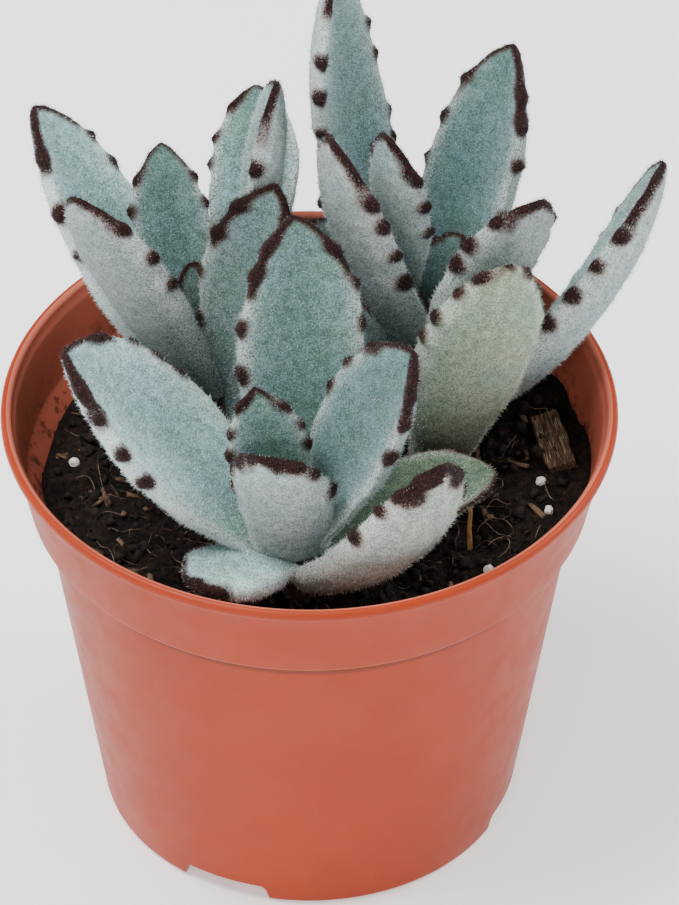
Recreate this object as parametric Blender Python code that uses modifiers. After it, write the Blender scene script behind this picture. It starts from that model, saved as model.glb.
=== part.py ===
"""A panda plant (a felted succulent) in a moulded plastic nursery pot filled with potting soil.

Run with: blender --background --python part.py
Units are metres, +Z is up, and the pot stands on its foot at z = 0. Every piece is laid out from the pot's
own axis, which lies POT_AXIS from the origin, so that the origin is the middle of the plant's footprint.
"""

import math
import random
from collections import namedtuple

import bmesh
import bpy
from mathutils import Matrix, Vector

MM = 0.001
GAP = 0.3 * MM  # air left between pieces that touch


def mm(*values):
    """Lengths in millimetres as metres."""
    return tuple(value * MM for value in values)


POT_AXIS = mm(-4.0, -1.4, 0)

# A 10.5 cm round nursery pot: lip, collar, body and foot from the outside
RIM_RADIUS = 52.5 * MM
RIM_HEIGHT = 82.0 * MM
LIP_WIDTH = 1.9 * MM
LIP_DEPTH = 2.0 * MM
COLLAR_TOP_RADIUS = 51.0 * MM
COLLAR_DEPTH = 17.0 * MM
COLLAR_FOOT_RADIUS = 47.9 * MM
BODY_TOP_RADIUS = 45.4 * MM
SHOULDER = 1.1 * MM
FOOT_RADIUS = 35.4 * MM
WALL = 1.1 * MM
FOOT_WALL = 1.6 * MM
FLOOR_UNDERSIDE = 3.6 * MM
FLOOR_THICKNESS = 1.2 * MM
FLOOR_ROUND = 1.2 * MM
TURN_STEPS = 48

# Notches in the foot, in opposite pairs, and drain holes in the floor; turns in degrees
NOTCH_TURNS = (66.0, 163.5, 246.0, 343.5)
NOTCH_WIDTH = 14.6 * MM
NOTCH_FLARE = 1.5 * MM
NOTCH_HEIGHT = 3.4 * MM
NOTCH_REACH = 5.0 * MM
DRAIN_TURNS = (20.0, 110.0, 200.0, 290.0)
DRAIN_RADIUS = 4.0 * MM
DRAIN_RING = 21.0 * MM

# Potting soil, higher on the pot's right side
SOIL_LEVEL = 66.3 * MM
SOIL_RISE = 3.6 * MM
SOIL_RISE_FROM = 16.0 * MM
SOIL_RISE_RUN = 28.0 * MM
SOIL_LUMP = 0.5 * MM
SOIL_RINGS = 8
SOIL_CREST = 0.4 * MM  # how far the soil falls away at the wall

# Woody stems, from the buried foot to the top bud: a point on the soil and a point at the top
STEM_RADIUS = 2.6 * MM
STEM_TOP_RADIUS = 1.8 * MM
STEM_BURIED = 20.0 * MM
STEMS = {
    "front": (mm(-2, -29, 66), mm(-2, -24, 90)),
    "left": (mm(-16, 9, 66), mm(-12.7, 20.2, 95)),
    "right": (mm(20, 2, 66), mm(15.6, 23, 97)),
}

# Leaves, in millimetres and degrees. height is where the foot joins the stem, turn its compass direction and
# rise its slope at the foot. bend and swing are how far slope and direction change by the tip. roll twists
# the blade. teeth_a and teeth_b are the shares of the length where the left and right margin carry a tooth.
Leaf = namedtuple("Leaf", "stem height turn rise bend swing length width roll teeth_a teeth_b")
LEAVES = (
    Leaf("front", 76, 89, 66, 4, 6, 56, 22.5, 21, (0.53, 0.68, 0.84, 0.92), (0.53, 0.64, 0.77, 0.88)),
    Leaf("front", 78, 1, 69, -4, -10, 44, 20, 32, (0.58, 0.68, 0.77, 0.88), (0.64, 0.8, 0.89, 0.95)),
    Leaf("front", 85, 178, 89, -14, -9, 21, 12, -34, (0.5, 0.65, 0.9), (0.46, 0.61, 0.8)),
    Leaf("front", 75, 254, 83, -23, -38, 30, 16.5, 28, (0.55, 0.77, 0.88), (0.6, 0.75, 0.88)),
    Leaf("front", 73, 158, 40, 14, 30, 55, 25.5, -9, (0.58, 0.71, 0.84, 0.92), (0.58, 0.67, 0.76, 0.88)),
    Leaf("front", 70, 221, 27, -13, -4, 24, 17, 10, (0.55, 0.72, 0.86), (0.52, 0.69, 0.84)),
    Leaf("front", 69, 329, 32, 47, 17, 44, 18, -40, (0.5, 0.65, 0.8, 0.9), (0.53, 0.74, 0.85, 0.94)),
    Leaf("front", 74, 29, 11, -10, -7, 35, 16.5, 2, (0.55, 0.7, 0.84), (0.52, 0.68, 0.82)),
    Leaf("front", 70, 88, 17, 10, -11, 39, 18.5, -13, (0.55, 0.7, 0.84), (0.52, 0.68, 0.82)),
    Leaf("left", 70, 137, 45, 15, 10, 62, 21.5, 15, (0.6, 0.73, 0.88), (0.6, 0.72, 0.82)),
    Leaf("left", 75, 186, 63, 3, 10, 52, 20, 35, (0.6, 0.73, 0.87), (0.55, 0.68, 0.81)),
    Leaf("left", 76, 130, 52, 8, -36, 42, 14, 7, (0.62, 0.74, 0.86), (0.6, 0.73, 0.85)),
    Leaf("left", 87, 73, 25, 9, 23, 42, 16, -19, (0.66, 0.78, 0.92), (0.62, 0.75, 0.88)),
    Leaf("left", 94, 28, 81, 2, -17, 41, 19.5, -19, (0.6, 0.72, 0.84), (0.69, 0.8, 0.92)),
    Leaf("left", 80, 145, 80, -12, -1, 19, 11, -25, (0.52, 0.75), (0.5, 0.72)),
    Leaf("left", 68, 341, 89, -14, 42, 56, 17.5, 47, (0.4, 0.59, 0.76, 0.88), (0.5, 0.64, 0.77, 0.89)),
    Leaf("left", 72, 74, 18, 14, 11, 40, 15.5, 6, (0.55, 0.7, 0.84), (0.52, 0.68, 0.82)),
    Leaf("left", 69, 226, 42, 12, -3, 41, 16.5, 10, (0.55, 0.7, 0.84), (0.52, 0.68, 0.82)),
    Leaf("left", 81, 34, 42, -6, 5, 30, 11.5, -14, (0.55, 0.7, 0.84), (0.52, 0.68, 0.82)),
    Leaf("right", 94, 134, 60, 36, 36, 63, 18.5, -4, (0.44, 0.53, 0.65, 0.76), (0.34, 0.42, 0.6, 0.7)),
    Leaf("right", 88, 215, 68, 12, -8, 48, 19, -1, (0.4, 0.55, 0.7, 0.8), (0.26, 0.45, 0.62, 0.8)),
    Leaf("right", 92, 249, 88, -12, -6, 40, 14, -27, (0.5, 0.66, 0.82), (0.35, 0.58, 0.79)),
    Leaf("right", 80, 65, 45, 23, -10, 58, 21, -22, (0.46, 0.58, 0.71, 0.84), (0.5, 0.68, 0.8, 0.88)),
    Leaf("right", 77, 359, 73, -10, -19, 50, 19, -41, (0.6, 0.73, 0.86), (0.67, 0.76, 0.88)),
    Leaf("right", 86, 13, 72, -2, -7, 21, 11, 14, (0.47, 0.73), (0.46, 0.7)),
    Leaf("right", 82, 336, 88, 8, 23, 15, 7, 35, (0.5, 0.75), (0.55, 0.78)),
    Leaf("right", 72, 13, 30, 31, 28, 62, 24, -36, (0.42, 0.54, 0.68, 0.77), (0.47, 0.58, 0.69, 0.8)),
    Leaf("right", 68, 320, 72, 6, 11, 53, 21.5, -37, (0.6, 0.72, 0.84, 0.93), (0.66, 0.76, 0.88, 0.95)),
    Leaf("right", 73, 90, 27, -6, -5, 41, 19, -2, (0.55, 0.7, 0.84), (0.52, 0.68, 0.82)),
    Leaf("right", 77, 139, 18, -6, 8, 31, 12, -12, (0.55, 0.7, 0.84), (0.52, 0.68, 0.82)),
    Leaf("right", 89, 113, 16, -6, -8, 33, 13, -3, (0.55, 0.7, 0.84), (0.52, 0.68, 0.82)),
)

BLADE_LIFT = 0.10  # how far the margins curl up, per width
BLADE_THICKNESS = 0.26  # greatest thickness, per width
UPPER_SHARE = 0.28  # how much of the thickness lies above the blade's middle
FOOT_SHARE = 0.30  # width of the leaf's foot, per greatest width
WIDEST_AT = 0.58
TOOTH_REACH = 0.9 * MM
TOOTH_HALF_LENGTH = 1.2 * MM
TIP_SHARES = (0.968, 0.992)
LEAF_SIDES = 8
PATH_STEPS = 40
FOOT_BITE = 0.4  # how near the untrimmed foot comes to its stem, per gap

# Loose pieces lying in the soil, from the pot's axis
GRAIN_RADIUS = 1.0 * MM
GRAIN_SPOTS = (
    mm(-40.2, 2.8), mm(-24.0, -32.5), mm(3.2, -40.6), mm(30.3, -25.2), mm(39.4, -4.6), mm(40.6, -12.6),
    mm(-33.0, 22.0), mm(31.0, 29.0),
)
GRAIN_SIZES = (0.95, 0.85, 1.25, 1.1, 0.9, 0.85, 1.0, 0.9)
GRAIN_SINK = 0.25  # how high a grain's middle lies over the soil, per radius
CHIP_CENTRE = mm(41.6, 4.0)
CHIP_SIZE = mm(4.2, 12.5, 1.5)
CHIP_TURN = 12.0
CHIP_LEAN = -14.0
CHIP_SIT = 0.35 * MM
STRAW_FOOT = mm(27.2, -19.5)
STRAW_RADIUS = 0.45 * MM
STRAW_BENDS = (mm(0, 0, -4), mm(0, 0, 0.6), mm(-0.15, 0.2, 4), mm(0.1, 0.5, 8.5))

# Colour, roughness and metallic value
FINISHES = {
    "pot plastic": ((0.545, 0.150, 0.085), 0.42, 0.0),
    "potting soil": ((0.018, 0.011, 0.008), 0.95, 0.0),
    "stem felt": ((0.230, 0.225, 0.150), 0.90, 0.0),
    "leaf felt": ((0.330, 0.430, 0.370), 0.88, 0.0),
    "perlite": ((0.720, 0.690, 0.640), 0.85, 0.0),
    "bark": ((0.120, 0.070, 0.040), 0.90, 0.0),
    "straw": ((0.420, 0.260, 0.100), 0.80, 0.0),
}


def clear_scene():
    for thing in list(bpy.data.objects):
        bpy.data.objects.remove(thing, do_unlink=True)


def make_collection(name, hidden):
    group = bpy.data.collections.new(name)
    group.hide_render = hidden
    bpy.context.scene.collection.children.link(group)
    return group


def finish(name):
    """The named finish as a material, made once."""
    material = bpy.data.materials.get(name)
    if material is None:
        colour, roughness, metallic = FINISHES[name]
        material = bpy.data.materials.new(name)
        material.use_nodes = True
        shader = material.node_tree.nodes["Principled BSDF"]
        shader.inputs["Base Color"].default_value = (*colour, 1.0)
        shader.inputs["Roughness"].default_value = roughness
        shader.inputs["Metallic"].default_value = metallic
        material.diffuse_color = (*colour, 1.0)
    return material


def add_object(name, data, group, material_name=None):
    """An object in its collection, placed from the pot's axis."""
    thing = bpy.data.objects.new(name, data)
    group.objects.link(thing)
    thing.location = POT_AXIS
    if material_name:
        data.materials.append(finish(material_name))
    if group.hide_render:
        thing.hide_render = True
        thing.display_type = "WIRE"
    return thing


def mesh_from(bm, name, smooth_angle=None):
    mesh = bpy.data.meshes.new(name)
    bmesh.ops.recalc_face_normals(bm, faces=bm.faces)
    bm.to_mesh(mesh)
    bm.free()
    if smooth_angle is not None:
        mesh.shade_smooth()
        mesh.set_sharp_from_angle(angle=math.radians(smooth_angle))
    return mesh


def turned(name, profile, steps, group, material_name):
    """A profile of (radius, height) pairs, outer side first from top to bottom, turned about the pot's axis."""
    bm = bmesh.new()
    points = [bm.verts.new((radius, 0, height)) for radius, height in profile]
    for first, second in zip(points, points[1:]):
        bm.edges.new((first, second))
    mesh = bpy.data.meshes.new(name)
    bm.to_mesh(mesh)
    bm.free()
    thing = add_object(name, mesh, group, material_name)
    screw = thing.modifiers.new("turned", "SCREW")
    screw.steps = steps
    screw.render_steps = steps
    screw.use_merge_vertices = True
    screw.merge_threshold = 0.00001
    screw.use_smooth_shade = True
    return thing


def applied(thing):
    """The object's mesh as its modifiers leave it, with the modifiers gone."""
    graph = bpy.context.evaluated_depsgraph_get()
    mesh = bpy.data.meshes.new_from_object(thing.evaluated_get(graph))
    thing.modifiers.clear()
    thing.data = mesh
    return mesh


def cut(thing, cutter):
    hole = thing.modifiers.new(f"cut by {cutter.name}", "BOOLEAN")
    hole.operation = "DIFFERENCE"
    hole.solver = "EXACT"
    hole.object = cutter


def inner_wall():
    """The pot's inside as (radius, height) pairs, from the middle of the floor up to the lip."""
    collar_foot = RIM_HEIGHT - COLLAR_DEPTH
    body_top = collar_foot - SHOULDER
    slope = (BODY_TOP_RADIUS - FOOT_RADIUS) / body_top
    floor_top = FLOOR_UNDERSIDE + FLOOR_THICKNESS
    shoulder = collar_foot + WALL * 2.4
    return [
        (0, floor_top),
        (FOOT_RADIUS + slope * floor_top - WALL - FLOOR_ROUND, floor_top),
        (FOOT_RADIUS + slope * (floor_top + FLOOR_ROUND) - WALL, floor_top + FLOOR_ROUND),
        (BODY_TOP_RADIUS - WALL, body_top),
        (COLLAR_FOOT_RADIUS - WALL, shoulder),
        (COLLAR_FOOT_RADIUS - WALL + 1.3 * MM, shoulder + 1.6 * MM),
        (COLLAR_TOP_RADIUS - WALL, RIM_HEIGHT - LIP_DEPTH * 1.2),
    ]


def pot_profile():
    """Outer side from the lip down to the foot, the recess under the floor, then the inside back up."""
    collar_foot = RIM_HEIGHT - COLLAR_DEPTH
    body_top = collar_foot - SHOULDER
    slope = (BODY_TOP_RADIUS - FOOT_RADIUS) / body_top
    lip_round = LIP_DEPTH * 0.3
    outside = [
        (RIM_RADIUS - LIP_WIDTH * 0.5, RIM_HEIGHT),
        (RIM_RADIUS - LIP_WIDTH * 0.14, RIM_HEIGHT - lip_round * 0.5),
        (RIM_RADIUS, RIM_HEIGHT - LIP_DEPTH * 0.5),
        (RIM_RADIUS - lip_round * 0.4, RIM_HEIGHT - LIP_DEPTH),
        (COLLAR_TOP_RADIUS, RIM_HEIGHT - LIP_DEPTH * 1.25),
        (COLLAR_FOOT_RADIUS + 0.15 * MM, collar_foot + 0.5 * MM),
        (COLLAR_FOOT_RADIUS - 0.25 * MM, collar_foot),
        (BODY_TOP_RADIUS + 0.2 * MM, body_top + 0.2 * MM),
        (BODY_TOP_RADIUS, body_top - 0.5 * MM),
        (FOOT_RADIUS + slope * 0.6 * MM, 0.6 * MM),
        (FOOT_RADIUS - 0.4 * MM, 0),
    ]
    recess = [
        (FOOT_RADIUS - FOOT_WALL, 0),
        (FOOT_RADIUS - FOOT_WALL + 0.1 * MM, FLOOR_UNDERSIDE - 0.4 * MM),
        (FOOT_RADIUS - FOOT_WALL - 0.5 * MM, FLOOR_UNDERSIDE),
        (0, FLOOR_UNDERSIDE),
    ]
    lip = [
        (RIM_RADIUS - LIP_WIDTH, RIM_HEIGHT - LIP_DEPTH * 0.5),
        (RIM_RADIUS - LIP_WIDTH * 0.86, RIM_HEIGHT - lip_round * 0.5),
        (RIM_RADIUS - LIP_WIDTH * 0.5, RIM_HEIGHT),
    ]
    return outside + recess + inner_wall() + lip


def make_pot(group, cutters):
    pot = turned("pot", pot_profile(), TURN_STEPS, group, "pot plastic")
    for number, turn in enumerate(NOTCH_TURNS, 1):
        bm = bmesh.new()
        bmesh.ops.create_cube(bm, size=1)
        for corner in bm.verts:
            low = corner.co.z < 0
            half = NOTCH_WIDTH / 2 + (NOTCH_FLARE if low else 0)
            corner.co = (
                FOOT_RADIUS + math.copysign(NOTCH_REACH, corner.co.x),
                math.copysign(half, corner.co.y),
                -NOTCH_HEIGHT if low else NOTCH_HEIGHT,
            )
        bmesh.ops.rotate(bm, verts=bm.verts, matrix=Matrix.Rotation(math.radians(turn), 3, "Z"))
        cut(pot, add_object(f"notch_cutter_{number}", mesh_from(bm, "notch"), cutters))
    for number, turn in enumerate(DRAIN_TURNS, 1):
        bm = bmesh.new()
        size = {"radius1": DRAIN_RADIUS, "radius2": DRAIN_RADIUS, "depth": FLOOR_UNDERSIDE * 2}
        bmesh.ops.create_cone(bm, cap_ends=True, segments=16, **size)
        centre = Matrix.Rotation(math.radians(turn), 3, "Z") @ Vector((DRAIN_RING, 0, FLOOR_UNDERSIDE))
        bmesh.ops.translate(bm, verts=bm.verts, vec=centre)
        cut(pot, add_object(f"drain_cutter_{number}", mesh_from(bm, "drain hole"), cutters))


def soil_height(x, y):
    """Top of the soil over a point: level, rising to the right, with low lumps."""
    rise = min(max((x - SOIL_RISE_FROM) / SOIL_RISE_RUN, 0), 1)
    lumps = math.sin(x * 310 + 1.3) * math.cos(y * 270 - 0.4) + 0.7 * math.sin(x * 170 - y * 390 + 2.1)
    return SOIL_LEVEL + SOIL_RISE * rise * rise * (3 - 2 * rise) + SOIL_LUMP * lumps


def wall_radius(height):
    """Inner radius of the pot at a height above its floor."""
    wall = inner_wall()[2:]
    for (low_radius, low), (high_radius, high) in zip(wall, wall[1:]):
        if height <= high:
            return low_radius + (high_radius - low_radius) * (height - low) / (high - low)
    return wall[-1][0]


def stem_point(stem, height):
    """The middle of a stem at a height, and its direction."""
    foot, top = (Vector(point) for point in STEMS[stem])
    along = (top - foot).normalized()
    return foot + along * ((height - foot.z) / along.z), along


def make_soil(group):
    """Soil that fills the pot, its edge a gap inside the wall all the way up."""
    base = FLOOR_UNDERSIDE + FLOOR_THICKNESS + GAP
    body_top = RIM_HEIGHT - COLLAR_DEPTH - SHOULDER
    neck = wall_radius(body_top) - GAP
    foot = wall_radius(base + FLOOR_ROUND) - GAP * 1.5
    top = [(neck * (ring + 0.5) / SOIL_RINGS, SOIL_LEVEL) for ring in range(SOIL_RINGS)]
    side = [(neck + GAP, SOIL_LEVEL), (neck + GAP, SOIL_LEVEL - SOIL_CREST), (neck, body_top)]
    bottom = [(foot, base + FLOOR_ROUND), (foot - FLOOR_ROUND, base), (0, base)]
    soil = turned("soil", [(0, SOIL_LEVEL), *top, *side, *bottom], TURN_STEPS, group, "potting soil")
    shoulder = inner_wall()[4][1]
    for vertex in applied(soil).vertices:
        if vertex.co.z <= body_top + GAP:
            continue
        upper = vertex.co.z > SOIL_LEVEL - SOIL_CREST / 2
        out = Vector((vertex.co.x, vertex.co.y, 0))
        crest = soil_height(vertex.co.x, vertex.co.y)
        if out.length < neck:
            vertex.co.z = crest
            continue
        height = crest - SOIL_CREST if upper else min(crest - SOIL_CREST * 2, shoulder)
        vertex.co = out.normalized() * (wall_radius(height) - GAP) + Vector((0, 0, height))
    return soil


def make_stem(stem, group):
    """A stem that stands in its hole in the soil, tapering to a blunt top."""
    foot, along = stem_point(stem, SOIL_LEVEL)
    top = Vector(STEMS[stem][1])
    bottom = foot - along * STEM_BURIED
    curve = bpy.data.curves.new(f"stem_{stem}", "CURVE")
    curve.dimensions = "3D"
    curve.bevel_depth = STEM_RADIUS
    curve.bevel_resolution = 2
    curve.use_fill_caps = True
    spline = curve.splines.new("POLY")
    stations = ((0.0, 0.97), (0.04, 1.0), (0.5, 1.0), (0.97, STEM_TOP_RADIUS / STEM_RADIUS), (1.0, 0.45))
    spline.points.add(len(stations) - 1)
    for point, (share, radius) in zip(spline.points, stations):
        point.co = (*bottom.lerp(top, share), 1)
        point.radius = radius
    return add_object(f"stem_{stem}", curve, group, "stem felt")


def half_width(leaf, share):
    """Half the blade's width: a narrow foot, widest past the middle, then a round-pointed tip."""
    swell = math.sin(min(share / WIDEST_AT, 1) * math.pi / 2) ** 1.3
    past = min(max((share - WIDEST_AT) / (1 - WIDEST_AT), 0), 1)
    return leaf.width * MM / 2 * (FOOT_SHARE + (1 - FOOT_SHARE) * swell) * (1 - past**2.3) ** 0.75


def blade_thickness(leaf, share):
    swell = 0.55 + 0.45 * math.sin(math.pi * min(share * 0.9 + 0.1, 1))
    fade = min(1, math.sqrt(half_width(leaf, share) / (leaf.width * MM / 2)) * 1.05)
    return BLADE_THICKNESS * leaf.width * MM * swell * fade


def direction(leaf, share):
    turn = math.radians(leaf.turn + leaf.swing * share)
    rise = math.radians(leaf.rise + leaf.bend * share)
    return Vector((math.cos(rise) * math.cos(turn), math.cos(rise) * math.sin(turn), math.sin(rise)))


def leaf_foot(leaf):
    """Where the blade starts: beside its stem, near enough for the stem's sleeve to trim it."""
    centre, _ = stem_point(leaf.stem, leaf.height * MM)
    foot, top = (Vector(point) for point in STEMS[leaf.stem])
    share = (leaf.height * MM - foot.z) / (top.z - foot.z)
    stem_radius = STEM_RADIUS + (STEM_TOP_RADIUS - STEM_RADIUS) * max(share, 0)
    turn = math.radians(leaf.turn)
    return centre + Vector((math.cos(turn), math.sin(turn), 0)) * (stem_radius + GAP * FOOT_BITE)


def blade_frame(leaf, share, path):
    """A point of the midrib with the blade's sideways and upward directions there."""
    place = share * PATH_STEPS
    step = min(int(place), PATH_STEPS - 1)
    middle = path[step].lerp(path[step + 1], place - step)
    along = direction(leaf, share)
    turn = math.radians(leaf.turn + leaf.swing * share)
    side = Vector((-math.sin(turn), math.cos(turn), 0))
    upward = along.cross(side)
    roll = math.radians(leaf.roll)
    sideways = side * math.cos(roll) + upward * math.sin(roll)
    return middle, sideways, upward * math.cos(roll) - side * math.sin(roll)


def midrib(leaf):
    """Points along the middle of the blade, from foot to tip."""
    points = [leaf_foot(leaf)]
    for step in range(PATH_STEPS):
        heading = direction(leaf, (step + 0.5) / PATH_STEPS)
        points.append(points[-1] + heading * (leaf.length * MM / PATH_STEPS))
    return points


def margin_stations(leaf, teeth):
    """Shares of the length for the blade's rings along one margin, and which of them are tooth peaks."""
    half = TOOTH_HALF_LENGTH / (leaf.length * MM)
    shares = [0.0, teeth[0] * 0.35, teeth[0] * 0.7]
    peaks = []
    for number, tooth in enumerate(teeth):
        before = (tooth + teeth[number - 1]) / 2 if number else 0
        after = (tooth + teeth[number + 1]) / 2 if number + 1 < len(teeth) else TIP_SHARES[0]
        shares.append(max(tooth - half, before + 0.004))
        peaks.append(len(shares))
        shares.append(tooth)
        shares.append(min(tooth + half, after - 0.004))
    shares.extend(TIP_SHARES)
    return shares, peaks


def stem_sleeve(stem, cutters):
    """A cutter a gap wider than the stem, which trims the leaves' feet so that they clasp the stem."""
    foot, along = stem_point(stem, SOIL_LEVEL)
    top = Vector(STEMS[stem][1]) + along * GAP
    sides = 16
    corner = 1 / math.cos(math.pi / sides)
    bm = bmesh.new()
    low, high = (STEM_RADIUS + GAP) * corner, (STEM_TOP_RADIUS + GAP) * corner
    size = {"radius1": low, "radius2": high, "depth": (top - foot).length}
    bmesh.ops.create_cone(bm, cap_ends=True, segments=sides, **size)
    bmesh.ops.rotate(bm, verts=bm.verts, matrix=Vector((0, 0, 1)).rotation_difference(along).to_matrix())
    bmesh.ops.translate(bm, verts=bm.verts, vec=(foot + top) / 2)
    return add_object(f"stem_{stem}_sleeve_cutter", mesh_from(bm, "stem sleeve"), cutters)


def make_leaf(leaf, name, group):
    """A thick blade from a UV sphere: channelled above, rounded below, its margins set with teeth."""
    stations_a, peaks = margin_stations(leaf, leaf.teeth_a)
    stations_b, _ = margin_stations(leaf, leaf.teeth_b)
    rings = len(stations_a)
    path = midrib(leaf)
    bm = bmesh.new()
    bmesh.ops.create_uvsphere(bm, u_segments=LEAF_SIDES, v_segments=rings + 1, radius=1)
    for vertex in bm.verts:
        ring = (rings + 1) - round(math.acos(max(-1, min(1, vertex.co.z))) / math.pi * (rings + 1))
        around = math.atan2(vertex.co.y, vertex.co.x)
        across, up = round(math.cos(around), 6), round(math.sin(around), 6)
        if ring in (0, rings + 1):
            across = up = 0
            share = 0.0 if ring == 0 else 1.0
        else:
            toward_a = (1 + across) / 2
            share = stations_a[ring - 1] * toward_a + stations_b[ring - 1] * (1 - toward_a)
        middle, side, upward = blade_frame(leaf, share, path)
        half = half_width(leaf, share)
        thickness = blade_thickness(leaf, share) * (UPPER_SHARE if up > 0 else 1 - UPPER_SHARE)
        lift = BLADE_LIFT * 2 * half * across * across
        reach = half * across
        if ring - 1 in peaks and abs(across) == 1:
            reach += TOOTH_REACH * across
        vertex.co = middle + side * reach + upward * (lift + thickness * up)
    return add_object(name, mesh_from(bm, name, 60), group, "leaf felt")


def lump(radius, seed):
    """A small uneven grain about its own middle."""
    draw = random.Random(seed)
    bm = bmesh.new()
    bmesh.ops.create_icosphere(bm, subdivisions=1, radius=radius)
    for vertex in bm.verts:
        vertex.co *= 1 + draw.uniform(-0.14, 0.14)
    return bm


def make_grains(group, cutters, soil):
    """Perlite grains, each half sunk in its own dimple in the soil."""
    for number, ((x, y), size) in enumerate(zip(GRAIN_SPOTS, GRAIN_SIZES), 1):
        radius = GRAIN_RADIUS * size
        centre = Vector((x, y, soil_height(x, y) + radius * GRAIN_SINK))
        grain = lump(radius, number)
        dimple = lump(radius + GAP * 1.2, number)
        for shape in (grain, dimple):
            bmesh.ops.translate(shape, verts=shape.verts, vec=centre)
        add_object(f"perlite_{number}", mesh_from(grain, "perlite"), group, "perlite")
        cut(soil, add_object(f"dimple_cutter_{number}", mesh_from(dimple, "dimple"), cutters))


def flake(grown):
    """The bark flake as a rough board about its own middle, its faces moved out by grown."""
    draw = random.Random(5)
    bm = bmesh.new()
    bmesh.ops.create_cube(bm, size=1)
    long_edges = [edge for edge in bm.edges if abs(edge.verts[0].co.y - edge.verts[1].co.y) > 0.5]
    bmesh.ops.subdivide_edges(bm, edges=long_edges, cuts=3, use_grid_fill=True)
    for vertex in bm.verts:
        taper = 1 + draw.uniform(-0.12, 0.08) - 0.3 * abs(vertex.co.y)
        corner = [value * (size + 2 * grown) for value, size in zip(vertex.co, CHIP_SIZE)]
        vertex.co = (corner[0] * taper, corner[1], corner[2])
    bmesh.ops.rotate(bm, verts=bm.verts, matrix=Matrix.Rotation(math.radians(CHIP_LEAN), 3, "Y"))
    bmesh.ops.rotate(bm, verts=bm.verts, matrix=Matrix.Rotation(math.radians(CHIP_TURN), 3, "Z"))
    bmesh.ops.translate(bm, verts=bm.verts, vec=(*CHIP_CENTRE, soil_height(*CHIP_CENTRE) + CHIP_SIT))
    return bm


def make_chip(group, cutters, soil):
    """A flake of bark bedded flat in the soil at the pot's right side."""
    add_object("bark_flake", mesh_from(flake(0), "bark flake"), group, "bark")
    cut(soil, add_object("flake_bed_cutter", mesh_from(flake(GAP), "flake bed"), cutters))


def make_straw(group, cutters, soil):
    """A dry stalk that stands in the soil."""
    foot = Vector((*STRAW_FOOT, soil_height(*STRAW_FOOT)))
    curve = bpy.data.curves.new("straw", "CURVE")
    curve.dimensions = "3D"
    curve.bevel_depth = STRAW_RADIUS
    curve.bevel_resolution = 1
    curve.use_fill_caps = True
    spline = curve.splines.new("POLY")
    spline.points.add(len(STRAW_BENDS) - 1)
    for point, bend in zip(spline.points, STRAW_BENDS):
        point.co = (*(foot + Vector(bend)), 1)
    add_object("straw", curve, group, "straw")
    cut_post_hole(soil, "straw", foot, Vector((0, 0, 1)), STRAW_RADIUS, -STRAW_BENDS[0][2], cutters)


def cut_post_hole(soil, name, foot, along, radius, depth, cutters):
    """A plain round hole in the soil for a stem or stalk, a gap wider and deeper than what stands in it."""
    bm = bmesh.new()
    wide = radius + GAP
    bmesh.ops.create_cone(bm, cap_ends=True, segments=16, radius1=wide, radius2=wide, depth=(depth + GAP) * 2)
    bmesh.ops.rotate(bm, verts=bm.verts, matrix=Vector((0, 0, 1)).rotation_difference(along).to_matrix())
    bmesh.ops.translate(bm, verts=bm.verts, vec=foot)
    cut(soil, add_object(f"{name}_hole_cutter", mesh_from(bm, "post hole"), cutters))


def main():
    clear_scene()
    plant = make_collection("panda_plant", hidden=False)
    cutters = make_collection("cutters", hidden=True)
    make_pot(plant, cutters)
    soil = make_soil(plant)
    sleeves = {stem: stem_sleeve(stem, cutters) for stem in STEMS}
    for stem in STEMS:
        foot, along = stem_point(stem, SOIL_LEVEL)
        make_stem(stem, plant)
        cut_post_hole(soil, f"stem_{stem}", foot, along, STEM_RADIUS, STEM_BURIED, cutters)
    counts = dict.fromkeys(STEMS, 0)
    for leaf in LEAVES:
        counts[leaf.stem] += 1
        blade = make_leaf(leaf, f"leaf_{leaf.stem}_{counts[leaf.stem]}", plant)
        cut(blade, sleeves[leaf.stem])
    make_grains(plant, cutters, soil)
    make_chip(plant, cutters, soil)
    make_straw(plant, cutters, soil)
    bpy.context.view_layer.update()


main()
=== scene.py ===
"""The looks of a panda plant in its nursery pot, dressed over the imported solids.

Metres, +Z up, -Y to the viewer.
"""

import math
import random
from collections import namedtuple

import bmesh
import bpy
import numpy as np
from mathutils import Matrix, Vector, noise


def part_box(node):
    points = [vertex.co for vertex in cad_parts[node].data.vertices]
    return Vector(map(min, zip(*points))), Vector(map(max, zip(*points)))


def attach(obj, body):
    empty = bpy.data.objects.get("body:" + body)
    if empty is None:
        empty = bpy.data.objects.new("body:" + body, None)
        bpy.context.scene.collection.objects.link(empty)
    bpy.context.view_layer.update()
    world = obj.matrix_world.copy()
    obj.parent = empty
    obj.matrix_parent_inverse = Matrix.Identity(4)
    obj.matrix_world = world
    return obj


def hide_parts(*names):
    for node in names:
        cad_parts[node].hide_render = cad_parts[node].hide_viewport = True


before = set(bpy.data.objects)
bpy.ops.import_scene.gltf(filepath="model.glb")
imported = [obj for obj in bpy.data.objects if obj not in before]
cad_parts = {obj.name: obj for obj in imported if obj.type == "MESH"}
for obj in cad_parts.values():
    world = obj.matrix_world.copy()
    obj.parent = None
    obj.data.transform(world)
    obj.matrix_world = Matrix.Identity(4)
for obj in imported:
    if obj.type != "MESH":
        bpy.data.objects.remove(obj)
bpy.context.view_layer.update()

# A pale floor under a broad soft light from above and the left, as a nursery photographs its plants. The
# camera stands about two metres off and looks down at 41 degrees, level with the pot's rim in the middle of
# the frame.
MM = 0.001
low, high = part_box("pot")
POT_AXIS = Vector(((low.x + high.x) / 2, (low.y + high.y) / 2, 0))
VIEW_RISE = 0.7166  # radians
VIEW_DISTANCE = 2.131
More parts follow.
